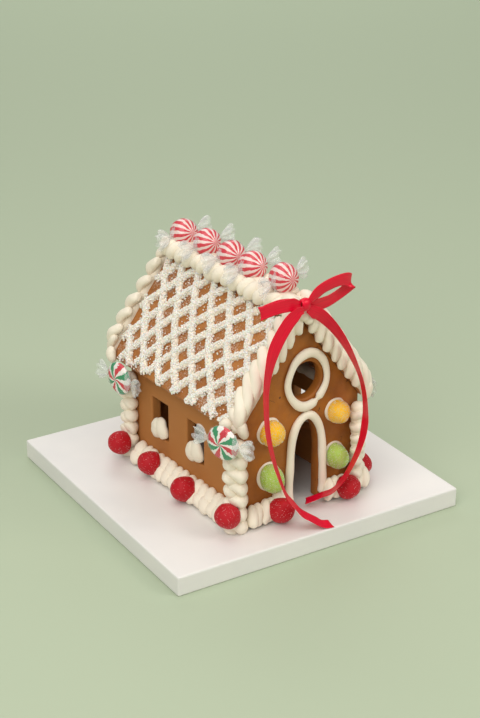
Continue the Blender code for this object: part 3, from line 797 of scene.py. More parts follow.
def small_balls(places, radii, random):
    """Twelve-cornered balls: two rings of five at a height of one over root five, and two poles."""
    sides, level = 5, 1 / math.sqrt(5)
    angle = 2 * np.pi * np.arange(sides) / sides
    flat = math.sqrt(1 - level**2)
    low = np.stack([flat * np.cos(angle), flat * np.sin(angle), np.full(sides, -level)], -1)
    half = angle + math.pi / sides
    high = np.stack([flat * np.cos(half), flat * np.sin(half), np.full(sides, level)], -1)
    ball = np.concatenate([low, high, [[0, 0, -1], [0, 0, 1]]])
    turned = np.einsum("nij,kj->nki", random_turns(len(places), random), ball)
    points = places[:, None] + turned * radii[:, None, None]
    return points.reshape(-1, 3), closed_faces(2, sides, len(places))


class AddRidgeIcing(bpy.types.Operator):
    """Pipe a row of fat dollops along each side of the ridge"""

    bl_idname = "house.add_ridge_icing"
    bl_label = "Ridge Icing"

    def execute(self, context):
        pitch = settings("icing").dollop
        for seed, (name, side) in enumerate(SIDES):
            low, high = span("ridge_icing_" + name)
            random = np.random.default_rng(31 + seed)
            count = round((high[1] - low[1]) / pitch)
            y = spread(low[1], high[1], count, random, 0.8 * MM)
            grow = random.uniform(0.86, 1.12, count)
            starts = slope(side, 12.5 * MM * grow, 3.0 * MM, y + 5 * MM)
            bends = slope(side, 10 * MM, 11.5 * MM * grow, y - 1 * MM)
            ends = slope(side, 1.5 * MM, 4 * MM, y - 5 * MM)
            size = 12.2 * MM * grow
            upper = lobes(starts, bends, ends, size, size * 0.86, Y, (0.36, 0.4))
            front = np.array([low[1] + 2 * MM, low[1] + 10 * MM])
            long_start = slope(side, np.array([4, 11]) * MM, np.array([8.5, 7]) * MM, front + 12 * MM)
            long_end = slope(side, np.array([3, 12]) * MM, np.array([5, 5.5]) * MM, front - 7 * MM)
            bends = (long_start + long_end) / 2 + Z * 3 * MM
            rows = [upper, lobes(long_start, bends, long_end, 9.5 * MM, 9.5 * MM, Z)]
            if side < 0:
                rows.append(self.bed(low[1] + 1 * MM, high[1] - 1 * MM))
            nodes, waves = ["ridge_icing_" + name], (0.35, 9, 40 + seed)
            add_icing("ridge_dollops_" + name, join(*rows), nodes, waves)
        return {"FINISHED"}

    def bed(self, first, last):
        """A flat bead along the ridge, under the balls."""
        y = np.linspace(first, last, 60)
        path = np.stack([RIDGE_X + 0 * y, y, RIDGE_Z + 0.6 * MM * np.sin(y / (5 * MM))], -1)[None]
        width = 13 * MM * np.clip(np.minimum(y[1:-1] - first, last - y[1:-1]) / (4 * MM), 0.3, 1)[None]
        return swept(path, Z, width, width * 0.5, 14)


class AddRakeIcing(bpy.types.Operator):
    """Hang long petals over the roof's front and back edges"""

    bl_idname = "house.add_rake_icing"
    bl_label = "Rake Petals"

    def execute(self, context):
        for end, facing, edge in (("front", -1, ROOF_LOW[1]), ("back", 1, ROOF_HIGH[1])):
            for name, side in SIDES:
                seed = 50 + side + (2 if facing > 0 else 0)
                random = np.random.default_rng(seed)
                parts = self.petals(side, facing, edge, random), self.bed(side, facing, edge)
                both = join(*parts, self.corner(side, facing, edge), self.peak(side, facing, edge))
                node = f"rake_{end}_{name}"
                add_icing("petals_" + node, both, [node], (0.35, 12, 10 + seed))
        return {"FINISHED"}

    def petals(self, side, facing, edge, random):
        """Petals that start on the roof, roll over its edge and end on the gable."""
        pitch = settings("icing").petal * (1 if facing < 0 else 1.3)
        low_at = np.arange(20.6 * MM, SLOPE_LENGTH - 3 * MM, pitch)
        count = len(low_at)
        way = low_at / SLOPE_LENGTH
        low_at = low_at + random.normal(0, 0.7 * MM, count)
        reach = np.minimum(random.uniform(25.5, 28, count) * MM, low_at - 1 * MM)
        reach = reach * (1 if facing < 0 else 0.5)
        width = random.uniform(9.0, 10.0, count) * MM * (1.12 if side > 0 or facing > 0 else 1)
        drop = 7.5 - 8.5 * way if side < 0 else 11.5 - 3 * way
        drop = (drop + random.uniform(-0.6, 0.6, count)) * MM
        ends = slope(side, low_at, -drop, edge + facing * 3.6 * MM)
        high_out = random.uniform(8, 10.5, count) * MM * np.clip(way * 4, 0.5, 1)
        starts = slope(side, low_at - reach, high_out, edge - facing * 6.5 * MM)
        bends = slope(side, low_at - reach * 0.45, 9 * MM - drop * 0.3, edge + facing * 7.5 * MM)
        up = unit(off_slope(side, 1.0, facing * 1.2))
        return lobes(starts, bends, ends, width, width * 0.86, up, (0.24, 0.26), 20, 18, 0.07)

    def bed(self, side, facing, edge):
        """A bead down the slab's cut edge, under the petals."""
        down = np.linspace(4 * MM, SLOPE_LENGTH - 1 * MM, 30)
        path = slope(side, down, (-0.4 if side < 0 else -3.2) * MM, edge + facing * 1.2 * MM)
        return swept(path[None], unit(off_slope(side, 1.0, facing * 1.2)), 8.4 * MM, 8.4 * MM, 12)

    def corner(self, side, facing, edge):
        """Three lobes that spread from the eave's corner: down in front, out, and back along it."""
        # Each row is a lobe's start and end: down from the eave, off the slope, and off the edge, in mm.
        down = np.array([[-12, -2.5], [-17.5, -6], [-9, 1]]) * MM + SLOPE_LENGTH
        out = np.array([[1.6, -9.6], [8, -5], [4, 1]]) * MM
        y = edge + facing * np.array([[4, 4.5], [-5, 5.5], [-4, -9]]) * MM
        starts, ends = (slope(side, down[:, k], out[:, k], y[:, k]) for k in (0, 1))
        bends = (starts + ends) / 2 + off_slope(side, 4 * MM, facing * 3 * MM)
        width = np.array([8.6, 9.2, 9.4]) * MM
        up = unit(off_slope(side, 1.0, facing))
        return lobes(starts, bends, ends, width, width * 0.88, up, (0.3, 0.3))

    def peak(self, side, facing, edge):
        """A small round dollop under the ridge, lower on the right side, where the two rakes meet."""
        across, below = (-5.6 * MM, 4.1 * MM) if side < 0 else (-1.4 * MM, 8.0 * MM)
        middle = vec(RIDGE_X + across, edge + facing * 5.5 * MM, RIDGE_Z - below)[None]
        start, end = middle + Z * 4.4 * MM - Y * facing * 3 * MM, middle - Z * 4.6 * MM
        return lobes(start, middle + Y * facing * 4 * MM, end, 9 * MM, 9 * MM, X, (0.42, 0.42))


class AddColumns(bpy.types.Operator):
    """Stack slanting lumps of icing up each corner"""

    bl_idname = "house.add_columns"
    bl_label = "Corner Columns"

    # The start, bend and end of a lump's two lobes: to the right, up and outwards, in shares of its size.
    FRONT_LOBE = ((-6.0, 3.4, 0), (8.5, 4.2, 2.0), (3.4, -5.0, 0))
    HIND_LOBE = ((-6.2, 2.2, -0.8), (-6.8, -3.0, 0.6), (2.4, -5.2, -0.5))
    # The way each column leans out from its corner.
    CORNERS = {"front_left": (-1, -1), "front_right": (1, -1)}
    CORNERS |= {"back_left": (-1, -0.4), "back_right": (1, 1)}

    def execute(self, context):
        pitch = settings("icing").coil
        for seed, (name, (way_x, way_y)) in enumerate(self.CORNERS.items()):
            low, high = span("column_" + name)
            random = np.random.default_rng(70 + seed)
            middle = (low + high) / 2 + X * (1.4 * MM if name == "back_left" else 0)
            tall = high[2] - low[2]
            count = round(tall / pitch) + 1
            right, outward = unit(vec(-way_y, way_x, 0)), unit(vec(way_x, way_y, 0))
            centre = middle + random.normal(0, 0.3 * MM, (count, 3))
            centre[:, 2] = low[2] + tall * (np.arange(count) + 0.35) / count
            size = min(high[0] - low[0], high[1] - low[1]) / 18 * random.uniform(0.96, 1.05, count)
            directions = np.stack([right, Z, outward])
            front, hind = (
                [centre + np.array(point) @ directions * size[:, None] for point in lobe]
                for lobe in (self.FRONT_LOBE, self.HIND_LOBE)
            )
            upper = lobes(*front, 10.6 * MM, 16.5 * size, outward, (0.3, 0.36), 16, 18)
            lower = lobes(*hind, 9.752 * MM, 15.5 * size, outward, (0.34, 0.34), 14, 18)
            node = "column_" + name
            add_icing("coiled_" + node, join(upper, lower), [node], (0.4, 11, 80 + seed), ICING_FLOOR)
        return {"FINISHED"}


class AddBorders(bpy.types.Operator):
    """Pipe the rope of lumps round the foot of the walls"""

    bl_idname = "house.add_borders"
    bl_label = "Foot Borders"

    def execute(self, context):
        pitch = settings("icing").lump
        runs = (
            ("left", Y, -X, WALLS_LOW[0]),
            ("right", Y, X, WALLS_HIGH[0]),
            ("back", X, Y, WALLS_HIGH[1]),
            ("front_left", X, -Y, WALLS_LOW[1]),
            ("front_right", X, -Y, WALLS_LOW[1]),
        )
        for seed, (name, along, outward, wall) in enumerate(runs):
            low, high = span("border_" + name)
            random = np.random.default_rng(90 + seed)
            first, last = low @ along, high @ along
            tight, longer_by = {"front_left": (0.8, 1), "front_right": (0.8, 8)}.get(name, (1, 0))
            first -= longer_by * MM
            count = round((last - first) / pitch / tight) + 1
            t = spread(first, last, count, random, 0.6 * MM)
            middle = along * t[:, None] + np.abs(outward) * wall + outward * FOOT_STAND_OFF
            middle[:, 2] = BOARD_TOP + 6.5 * MM
            front = name.startswith("front")
            grow = random.uniform(0.88, 1.12, count)[:, None]
            rise = np.linspace(0.85, 1.35, count)[:, None] if name == "front_left" else 0.9
            slant = random.uniform(3.4, 5.4, count)[:, None] * MM * tight
            width = 12.4 * MM * tight * random.uniform(0.9, 1.1, count)
            up = outward + Z * 0.6

            def at(forward, out, high):
                """Points by each lump's middle: forward by a share of its slant, out and up in mm."""
                return middle + along * slant * forward + (outward * out + Z * high) * MM

            starts, tops = at(-1, (5.0 if front else 5.8) * grow, -4.6), at(1.1, -4.4, 8.2 * grow * rise)
            if front:
                bends = at(0, 4.2 * grow, 4.5)
                lumps = lobes(starts, bends, tops, width, 11.5 * MM, up, (0.3, 0.4), 14, 18)
            else:
                bends, halfway = at(0, 6.4 * grow, 2), at(0.7, 1.5, 3.4)
                over, crest = at(-0.5, 3.4, -0.5), at(-0.2, 1, 8.5)
                below = lobes(starts, bends, halfway, width, 10 * MM, up, (0.32, 0.36), 12, 16)
                above = lobes(over, crest, tops, width * 0.94, 9.5 * MM, up, (0.32, 0.4), 12, 16)
                lumps = join(below, above)
            node = "border_" + name
            add_icing("rope_" + node, lumps, [node], (0.35, 8, 100 + seed), ICING_FLOOR)
        return {"FINISHED"}


class AddSeams(bpy.types.Operator):
    """Glue the roof to the walls inside, with a seam of icing on each wall and one under the ridge"""

    bl_idname = "house.add_seams"
    bl_label = "Inner Seams"

    def execute(self, context):
        left, right = span("left_wall"), span("right_wall")
        peak = span("front_wall")[1][2] - 5 * MM
        x = np.array([left[1][0] - 1 * MM, right[0][0] + 1 * MM, RIDGE_X])[:, None]
        z = np.array([left[1][2] + 1.5 * MM, right[1][2] + 1.5 * MM, peak])[:, None]
        y = np.linspace(left[0][1] + 2 * MM, left[1][1] - 2 * MM, 60)[None]
        paths = np.stack(np.broadcast_arrays(x, y, z), -1)
        width = 9 * MM * (1 + 0.06 * np.sin(np.arange(58) * 0.9) + 0 * x)
        seams = swept(paths, Z, width, width, 12)
        add_icing("inner_seams", seams, waves=(0.4, 12, 115))
        return {"FINISHED"}


class AddBeads(bpy.types.Operator):
    """Pipe a bead round the doorway and the round window"""

    bl_idname = "house.add_beads"
    bl_label = "Door and Window Beads"

    def execute(self, context):
        low, high = span("door_icing")
        y = WALLS_LOW[1] - 2.0 * MM
        half, door_x = (high[0] - low[0]) / 2 - 4.8 * MM, (low[0] + high[0]) / 2
        rise = high[2] - BEAD / 2 - DOOR_SPRING
        t = np.linspace(0, 1, 26)[:, None]
        climb = low[2] + 1 * MM + (DOOR_SPRING - low[2]) * t
        left = np.concatenate([door_x - half - 1.5 * MM * (1 - t) ** 2, 0 * t + y, climb], 1)
        a = np.linspace(math.pi, 0, 34)[1:-1, None]
        arch = np.concatenate([door_x + half * np.cos(a), 0 * a + y, DOOR_SPRING + rise * np.sin(a)], 1)
        right = left[::-1] * [-1, 1, 1] + [2 * door_x, 0, 0]
        path = uneven(np.concatenate([left, arch, right]), 0.4 * MM, 26 * MM, 7)[None]
        inner = np.linspace(0, 1, path.shape[1] - 2)[None]
        near_foot = np.minimum(inner, 1 - inner)
        swell = 1 + 0.32 * np.exp(-(((near_foot - 0.02) / 0.03) ** 2)) + 0.05 * np.sin(inner * 37)
        width = BEAD * swell * np.clip(near_foot * 60, 0.3, 1)
        door = swept(path, -Y, width, width * 0.85, 18)
        add_icing("door_bead", door, ["door_icing"])

        low, high = span("round_window_icing")
        centre = (low + high) / 2
        wide, tall = (high[0] - low[0] - BEAD) / 2, (high[2] - low[2] - BEAD) / 2
        start = math.radians(-62)
        a = np.linspace(start, start + 2 * math.pi * 1.015, 90)[:, None]
        ring = np.concatenate([centre[0] + wide * np.cos(a), 0 * a + y, centre[2] + tall * np.sin(a)], 1)
        ring = uneven(ring, 0.35 * MM, 24 * MM, 8)[None]
        inner = np.linspace(0, 1, 88)[None]
        swell = 0.86 + 0.34 * np.sin(a[1:-1, 0]) ** 2 + 0.04 * np.sin(inner * 31)
        width = BEAD * swell * np.clip(np.minimum(inner, 1 - inner) * 40, 0.3, 1) ** 0.5
        window = swept(ring, -Y, width, width * 0.66, 18)
        add_icing("round_window_bead", window, ["round_window_icing"])
        return {"FINISHED"}


class AddWindowIcing(bpy.types.Operator):
    """Set two leaning petals in the lower half of each side window"""

    bl_idname = "house.add_window_icing"
    bl_label = "Window Petals"

    def execute(self, context):
        for seed, name in enumerate(("left_front", "left_back", "right_front", "right_back")):
            node = "window_icing_" + name
            low, high = span(node)
            outward = -X if name.startswith("left") else X
            face = low[0] if name.startswith("left") else high[0]
            middle = (low[1] + high[1]) / 2
            half = (high[1] - low[1]) / 2
            base = vec(face, middle, low[2]) - outward * 4.6 * MM
            way = np.array([[-1.0], [1.0]])
            starts = base + Y * way * half * 0.04 + Z * np.array([[17.5], [14.5]]) * MM
            ends = base + Y * way * half * 0.56 + Z * np.array([[0.9], [-1.6]]) * MM
            bends = base + Y * way * half * 0.36 + Z * np.array([[10], [9]]) * MM + outward * 2.4 * MM
            width = np.array([13, 12.6]) * MM
            petals = lobes(starts, bends, ends, width, width * 0.62, outward, (0.4, 0.24), 16, 18)
            add_icing("petals_" + node, petals, [node], (0.3, 9, 120 + seed), low[2] - 2 * MM)
        return {"FINISHED"}


# ---------------------------------------------------------------- sweets


def domed(foot, axis, radius, height, seed, rings=26, sides=36):
    """A gumdrop: round its axis stands a circle at each height. Its side bulges as a superellipse,
    (r / R)^2.6 + (h / H)^2.2 = 1, over a short tucked-in foot, and slow waves dent it."""
    side, over, axis = frame_round(axis)
    t = (np.arange(rings) + 0.5) / rings * math.pi / 2
    r = radius * np.cos(t) ** (2 / 2.6)
    h = height * np.sin(t) ** (2 / 2.2)
    tuck = np.array([0.45, 0.8, 0.93, 0.985])
    r = np.concatenate([radius * tuck, r])
    h = np.concatenate([[0, 0, 0.02 * height, 0.06 * height], 0.10 * height + h * 0.90])
    ring = foot + axis * h[:, None, None] + r[:, None, None] * round_ring(side, over, sides)
    points = np.concatenate([ring.reshape(-1, 3), [foot, foot + axis * height]])
    return uneven(points, 0.2 * MM, 11 * MM, seed), closed_faces(len(r), sides)


def longer(surface, centre, way, factor):
    """A surface stretched by the factor along one way from the centre."""
    points, faces = surface
    return points + ((points - centre) @ way)[:, None] * way * (factor - 1), faces


def sugar_on(surface, foot, axis, count, size, random):
    """Small cubes half sunk at random points of a surface's upper side, turned every way."""
    points, (quads, _) = surface
    corners = points[quads]
    square = np.cross(corners[:, 2] - corners[:, 0], corners[:, 3] - corners[:, 1])
    above_foot = (corners.mean(1) - foot) @ axis > 1.2 * MM
    area = np.linalg.norm(square, axis=1) * above_foot
    pick = random.choice(len(quads), count, p=area / area.sum())
    mix = random.dirichlet(np.ones(4), count)
    places = (corners[pick] * mix[..., None]).sum(1) + unit(square)[pick] * size * 0.12
    cube = np.array([[x, y, z] for z in (-1, 1) for x, y in ((-1, -1), (1, -1), (1, 1), (-1, 1))]) / 2
    turns = random_turns(count, random)
    sizes = size * random.uniform(0.55, 1.15, (count, 1, 3))
    grains = places[:, None] + np.einsum("nij,nkj->nki", turns, cube * sizes)
    faces = np.array([[0, 3, 2, 1], [4, 5, 6, 7], [0, 1, 5, 4], [1, 2, 6, 5], [2, 3, 7, 6], [3, 0, 4, 7]])
    return quads_only(grains, (faces[None] + 8 * np.arange(count)[:, None, None]).reshape(-1, 4))


# Each red drop's place from the board's top, in mm, the way it points, and its size.
RED_DROPS = (
    (-71.6, -28.2, 12.5, -0.9, 0, 0.45, 1.02),
    (-70.6, 21.2, 13.7, -0.9, 0.1, 0.45, 0.98),
    (-74.2, -91.8, 18.3, -0.72, -0.6, 0.42, 1),
    (-73.8, 60.3, 16, -0.95, -0.2, 0.4, 0.97),
    (-27.6, -100, 11.7, 0, -0.9, 0.42, 1),
    (37, -100, 11.5, 0.1, -0.9, 0.42, 0.98),
    (68.6, -75.4, 11.5, 0.9, -0.1, 0.45, 1),
    (72.2, -27, 12.5, 0.9, 0, 0.45, 1),
    (72.2, 22, 12.5, 0.9, -0.1, 0.45, 0.97),
    (79.5, 70, 14, 0.95, 0.1, 0.4, 1.02),
    (-30, 83.5, 11.5, 0, 0.9, 0.42, 1),
    (34, 83.5, 11.5, 0.1, 0.9, 0.42, 0.97),
)


class AddGumdrops(bpy.types.Operator):
    """Set the red gumdrops in the border and the yellow and green ones beside the door"""

    bl_idname = "house.add_gumdrops"
    bl_label = "Gumdrops"

    def execute(self, context):
        grain = settings("sweets").grain
        grains = {"red": [], "wall": []}
        for number, (x, y, z, *way, size) in enumerate(RED_DROPS, 1):
            random = np.random.default_rng(200 + number)
            axis = unit(vec(*way))
            foot = vec(x, y, z) * MM + Z * BOARD_TOP - axis * 6 * MM * size
            drop = domed(foot, axis, 9.9 * MM * size, 14.2 * MM * size, 210 + number)
            node = f"red_gumdrop_{number:02d}"
            add_piece("sugared_" + node, drop, red_jelly(), [node])
            grains["red"].append(sugar_on(drop, foot, axis, 130, grain * 0.45, random))
        axis = unit(vec(0.06, -1, 0.04))
        long_way = vec(0.35, 0, -0.94)
        # The drop's width in shares of its node's, and how far it and its dab of icing are stretched.
        kinds = (("yellow", yellow_jelly, 1.02, 1, 1), ("green", green_jelly, 0.93, 1.32, 1.15))
        for number, (kind, skin, share, stretch, dab_stretch) in enumerate(kinds):
            for name, _ in SIDES:
                node = f"{kind}_gumdrop_{name}"
                low, high = span(node)
                random = np.random.default_rng(230 + number)
                middle = vec((low[0] + high[0]) / 2, WALLS_LOW[1], (low[2] + high[2]) / 2)
                radius = (high[0] - low[0]) / 2
                foot = middle - Y * 1.4 * MM
                drop = domed(foot, axis, radius * share, 12.2 * MM, 240 + number)
                drop = longer(drop, middle, long_way, stretch)
                add_piece("sugared_" + node, drop, skin(), [node])
                grains["wall"].append(sugar_on(drop, foot, axis, 700, grain * 0.56, random))
                dab = domed(middle + DAB_OFFSET, -Y, radius * 1.08, 3.6 * MM, 250 + number)
                dab = longer(dab, middle, long_way, dab_stretch)
                add_icing(f"dab_{kind}_{name}", dab)
        add_piece("sugar_on_red", join(*grains["red"]), sugar_grain())
        add_piece("sugar_on_wall_drops", join(*grains["wall"]), sugar_grain())
        return {"FINISHED"}


def round_sweet(centre, axis, radii, rings=34, sides=64):
    """A ball or flattened ball: at the angle t from one pole a circle of radius R sin(t) stands round the
    axis, D cos(t) before the middle."""
    side, over, axis = frame_round(axis)
    across, deep = radii
    t = math.pi * (np.arange(rings) + 0.5) / rings
    ring = (
        centre
        - axis * (deep * np.cos(t))[:, None, None]
        + (across * np.sin(t))[:, None, None] * round_ring(side, over, sides)
    )
    points = np.concatenate([ring.reshape(-1, 3), [centre - axis * deep, centre + axis * deep]])
    return points, closed_faces(rings, sides)


def add_striped(name, surface, skin, node, centre, axis):
    """Adds a round sweet whose UV map is set face by face, so that the seam and the poles stay sharp."""
    mesh = add_piece(name, surface, skin, [node]).data
    side, over, axis = frame_round(axis)
    away = surface[0][corner_points(mesh)] - centre
    turn = np.arctan2(away @ over, away @ side) / (2 * np.pi)
    rise = np.arccos(np.clip(-(unit(away) @ axis), -1, 1)) / np.pi
    starts = np.zeros(len(mesh.polygons), np.int32)
    mesh.polygons.foreach_get("loop_start", starts)
    sizes = np.diff(np.append(starts, len(away)))
    first = np.repeat(turn[starts + (sizes == 3)], sizes)
    turn = turn - np.round(turn - first)
    turn = np.where(np.isclose(np.abs(unit(away) @ axis), 1), first, turn)
    set_uv(mesh, np.stack([turn, rise], -1))


def twisted_film(centre, axis, flat, radius, thick, fan, reach, random, pleats=6, sides=96):
    """A wrapper's twisted ends, as rings of points: from a tight neck each opens to a pleated fan. Its
    radius grows from the neck's to the fan's on its way, in and out by the pleats, and is flattened."""
    side, over, axis = frame_round(axis)
    neck, neck_at = 1.5 * MM, 0.3
    v = 2 * np.pi * np.arange(sides) / sides
    w = np.linspace(0, 1, 18)
    out_share = np.clip((w - neck_at) / (1 - neck_at), 0, 1)
    opened = out_share**0.7 * (1.12 - 0.42 * out_share**3)
    narrowing = radius * 0.55 * np.clip(1 - w / neck_at, 0, 1) ** 1.2 + neck
    base = np.where(w < neck_at, narrowing, neck + (fan - neck) * opened)
    opened, out = opened[:, None], (radius * 0.80 + (reach - radius * 0.80) * w)[:, None]
    made = []
    for way in (-1, 1):
        phase = random.uniform(0, 2 * np.pi, 3)
        pleat = 1 + (0.10 + 0.30 * opened) * np.sin(pleats * v + 2.2 * w[:, None] + phase[0])
        pleat = pleat * (1 + 0.12 * opened * np.sin(3 * v + phase[1]))
        ragged = (1.2 * np.sin(5 * v + phase[2]) + 0.7 * np.sin(13 * v)) * opened * MM
        ring = way * axis * (out + ragged)[..., None]
        ring = ring + (base[:, None] * pleat)[..., None] * round_ring(side, over, sides)
        ring = ring - (ring @ flat)[..., None] * flat * (1 - thick)
        bend = flat * random.uniform(-1.5, 1.5) * MM * (w**2)[:, None, None]
        made.append(centre + ring + bend)
    return made


def film_surface(fans):
    """Two open fans as faces between their rings, turned so that they look outwards."""
    quads = grid_quads(*fans[0].shape[:2])
    base = fans[0].shape[0] * fans[0].shape[1]
    return quads_only(np.concatenate(fans), np.concatenate([quads[:, ::-1], quads + base]))


def add_wrapper(name, centre, twist, flat, radii, fan, seed):
    """Wraps a sweet: a tight skin of film round it and a pleated fan to each side."""
    random = np.random.default_rng(seed)
    across, deep = radii
    points, faces = round_sweet(centre, flat, (across + FILM_GAP, deep + FILM_GAP), 26, 48)
    crinkled = uneven(points, 0.25 * MM, 5 * MM, seed), faces
    add_piece(name + "_skin", crinkled, wrapper_skin())
    fans = twisted_film(centre, twist, flat, across, FAN_FLATNESS, fan, FILM_REACH, random)
    solidify(add_piece(name + "_fans", film_surface(fans), wrapper_fan()), FILM_THICK)


class AddPeppermints(bpy.types.Operator):
    """Set five striped balls along the ridge and a starlight mint at each corner, all in twisted film"""

    bl_idname = "house.add_peppermints"
    bl_label = "Peppermints"

    def execute(self, context):
        for number, sunk in enumerate(BALL_SINKS, 1):
            node = f"peppermint_ball_{number}"
            low, high = span(node)
            random = np.random.default_rng(300 + number)
            centre = (low + high) / 2 - Z * sunk * MM
            centre[0] = RIDGE_X + BALL_OFF_RIDGE
            pole = unit(vec(random.uniform(-0.15, 0.25), -1, random.uniform(0.1, 0.35)))
            radii = BALL_RADIUS, BALL_RADIUS * random.uniform(0.96, 1.0)
            points, faces = round_sweet(centre, pole, radii)
            ball = uneven(points, 0.2 * MM, 14 * MM, 310 + number), faces
            add_striped("striped_" + node, ball, striped_ball(), node, centre, pole)
            turn = random.uniform(-0.2, 0.2)
            twist = vec(math.cos(turn), math.sin(turn), 0.08)
            across = unit(np.cross(twist, Z))
            radii = (BALL_RADIUS, BALL_RADIUS)
            add_wrapper(node + "_wrapper", centre, twist, across, radii, 8.5 * MM, 320 + number)
        # How far each mint turns from the side wall towards the front.
        skews = {"front_left": 0.309, "back_left": 0.08, "front_right": 0.1, "back_right": 0.08}
        for number, (name, skew) in enumerate(skews.items()):
            node = "starlight_mint_" + name
            centre = sum(span(node)) / 2
            normal = unit(vec(-1 if name.endswith("left") else 1, -skew, 0))
            mint = round_sweet(centre, normal, MINT_RADII)
            add_striped("striped_" + node, mint, starlight(), node, centre, normal)
            twist = np.cross(Z, normal)
            add_wrapper(node + "_wrapper", centre, twist, normal, MINT_RADII, 8 * MM, 340 + number)
        return {"FINISHED"}


# ---------------------------------------------------------------- ribbon


# The bow's routes from the board's top, in mm. A tail's fourth number is its turn about its route, in
# degrees, from lying square to the way that a viewer before the front left corner looks.
LOOK = unit(vec(0.532, 0.738, -0.416))
LEFT_LOOP = (
    (-12.8, -99.2, 176.2), (-22, -100.6, 178.8), (-30, -101, 179.7), (-39, -100.2, 179.2),
    (-46, -98.8, 177.8), (-48, -96.8, 177), (-45, -95.2, 176.5), (-38, -94.6, 177.2),
    (-28, -95, 177.8), (-12.8, -97.2, 175.8),
)  # fmt: skip
RIGHT_LOOP = (
    (-6.8, -99.2, 176.6), (-0.8, -100, 181.6), (5, -100.6, 185.2), (13, -101, 187.4),
    (21, -101, 188.2), (28, -100.2, 187.2), (33, -98.2, 183.8), (34, -95.6, 179.2),
    (31, -93.8, 175.4), (25, -93.4, 172.6), (17, -94.2, 170.8), (9, -95.4, 170.8),
    (1.5, -96.6, 171.6), (-6.6, -97.4, 173.8),
)  # fmt: skip
LEFT_TAIL = (
    (-14.6, -104.2, 174.4, -42), (-19.6, -103.7, 172.8, -36), (-27, -101.5, 164.7, -28),
    (-35.1, -98.5, 148.7, -28), (-40.5, -98.5, 132.9, -52), (-43.9, -99.5, 116.9, -64),
    (-45.7, -102, 100.9, -68), (-46.2, -104, 88.7, -68), (-45.8, -106.5, 77, -70),
    (-43.3, -110, 59.8, -75), (-38.3, -113, 41.3, -79), (-34.1, -114, 31.2, -78),
    (-28.5, -114.8, 23.6, -74), (-22.4, -115.7, 15.3, -69), (-16.2, -117.5, 10.2, -66),
    (-10.1, -119.5, 5.6, -63), (-5, -121, 2.2, -62), (1.5, -122, 0.9, -62),
)  # fmt: skip
RIGHT_TAIL = (
    (-6, -98.6, 171.4, 0), (0.8, -98.5, 166.6, 12), (6.6, -98.5, 162.5, 28), (15.6, -99, 153.1, 42),
    (24.7, -99.5, 141, 55), (33, -100.5, 126.5, 68), (40.5, -101.5, 110.4, 78),
    (44.2, -102.2, 99.6, 78), (46.4, -103, 88.2, 76), (47.3, -103.8, 74.9, 72),
    (46.5, -104.5, 66.5, 64), (44.8, -105, 57.9, 64), (42.5, -105.5, 51.3, 68),
    (37.4, -106.5, 42, 72), (30.8, -107, 32.8, 75), (24.9, -105.5, 23.3, 76),
    (18.9, -101.5, 14.5, 76), (12.3, -97, 11, 72), (5.5, -93.6, 8.2, 70), (1, -89.8, 5.6, 70),
)  # fmt: skip


def smooth_route(points, steps=8):
    """A Catmull-Rom curve through the points: in each span a cubic that runs, at its ends, along the line
    between the points before and after."""
    p = np.asarray(points, float)
    p = np.concatenate([2 * p[:1] - p[1:2], p, 2 * p[-1:] - p[-2:-1]])
    a, b, c, d = (p[k : len(p) - 3 + k, None] for k in range(4))
    t = (np.arange(steps) / steps)[None, :, None]
    square, cube = 2 * a - 5 * b + 4 * c - d, 3 * b - a - 3 * c + d
    curve = 0.5 * (2 * b + (c - a) * t + square * t**2 + cube * t**3)
    return np.concatenate([curve.reshape(-1, p.shape[1]), p[-2:-1]])


def above_board(points):
    return np.asarray(points, float)[:, :3] * MM + Z * BOARD_TOP


def facing(points):
    """The way across the band at each point: square to its route and to the look, turned as stated."""
    places = above_board(points)
    ahead = unit(np.concatenate([places[1:], places[-1:]]) - np.concatenate([places[:1], places[:-1]]))
    broad = unit(np.cross(LOOK, ahead))
    turn = np.radians([p[3] for p in points])[:, None]
    return broad * np.cos(turn) + np.cross(ahead, broad) * np.sin(turn)


def band(name, places, facings, nodes, pinch=(1, 1), point=False):
    """A ribbon: at each point of its route the band runs across by half its width either way, with a
    shallow curl. It narrows to the pinch at its two ends, and a cut end is drawn out to a point."""
    look = settings("ribbon")
    route, across = smooth_route(places), unit(smooth_route(facings))
    ahead = unit(np.gradient(route, axis=0))
    across = unit(across - ahead * (across * ahead).sum(-1, keepdims=True))
    out = np.cross(ahead, across)
    run = np.concatenate([[0], np.cumsum(np.linalg.norm(np.diff(route, axis=0), axis=1))])
    s = np.linspace(-1, 1, 13)
    narrow = np.interp(run, [0, 9 * MM, run[-1] - 9 * MM, run[-1]], [pinch[0], 1, 1, pinch[1]])
    width = (look.width / 2 * narrow)[:, None, None] * s[:, None]
    gather = 0.55 * MM * (1 - narrow)[:, None, None] * np.cos(s[:, None] * 9)
    curl = 0.35 * MM * (1 - s[:, None] ** 2) + gather
    points = route[:, None] + across[:, None] * width + out[:, None] * curl
    if point:
        points[-1] -= ahead[-1] * (1 - s)[:, None] / 2 * CUT_POINT
    surface = quads_only(points, grid_quads(*points.shape[:2], closed=False))
    piece = add_piece(name, surface, satin(), nodes)
    uv = np.stack(np.broadcast_arrays(run[:, None], s * look.width / 2), -1).reshape(-1, 2)
    set_uv(piece.data, uv[corner_points(piece.data)])
    solidify(piece, look.thickness)


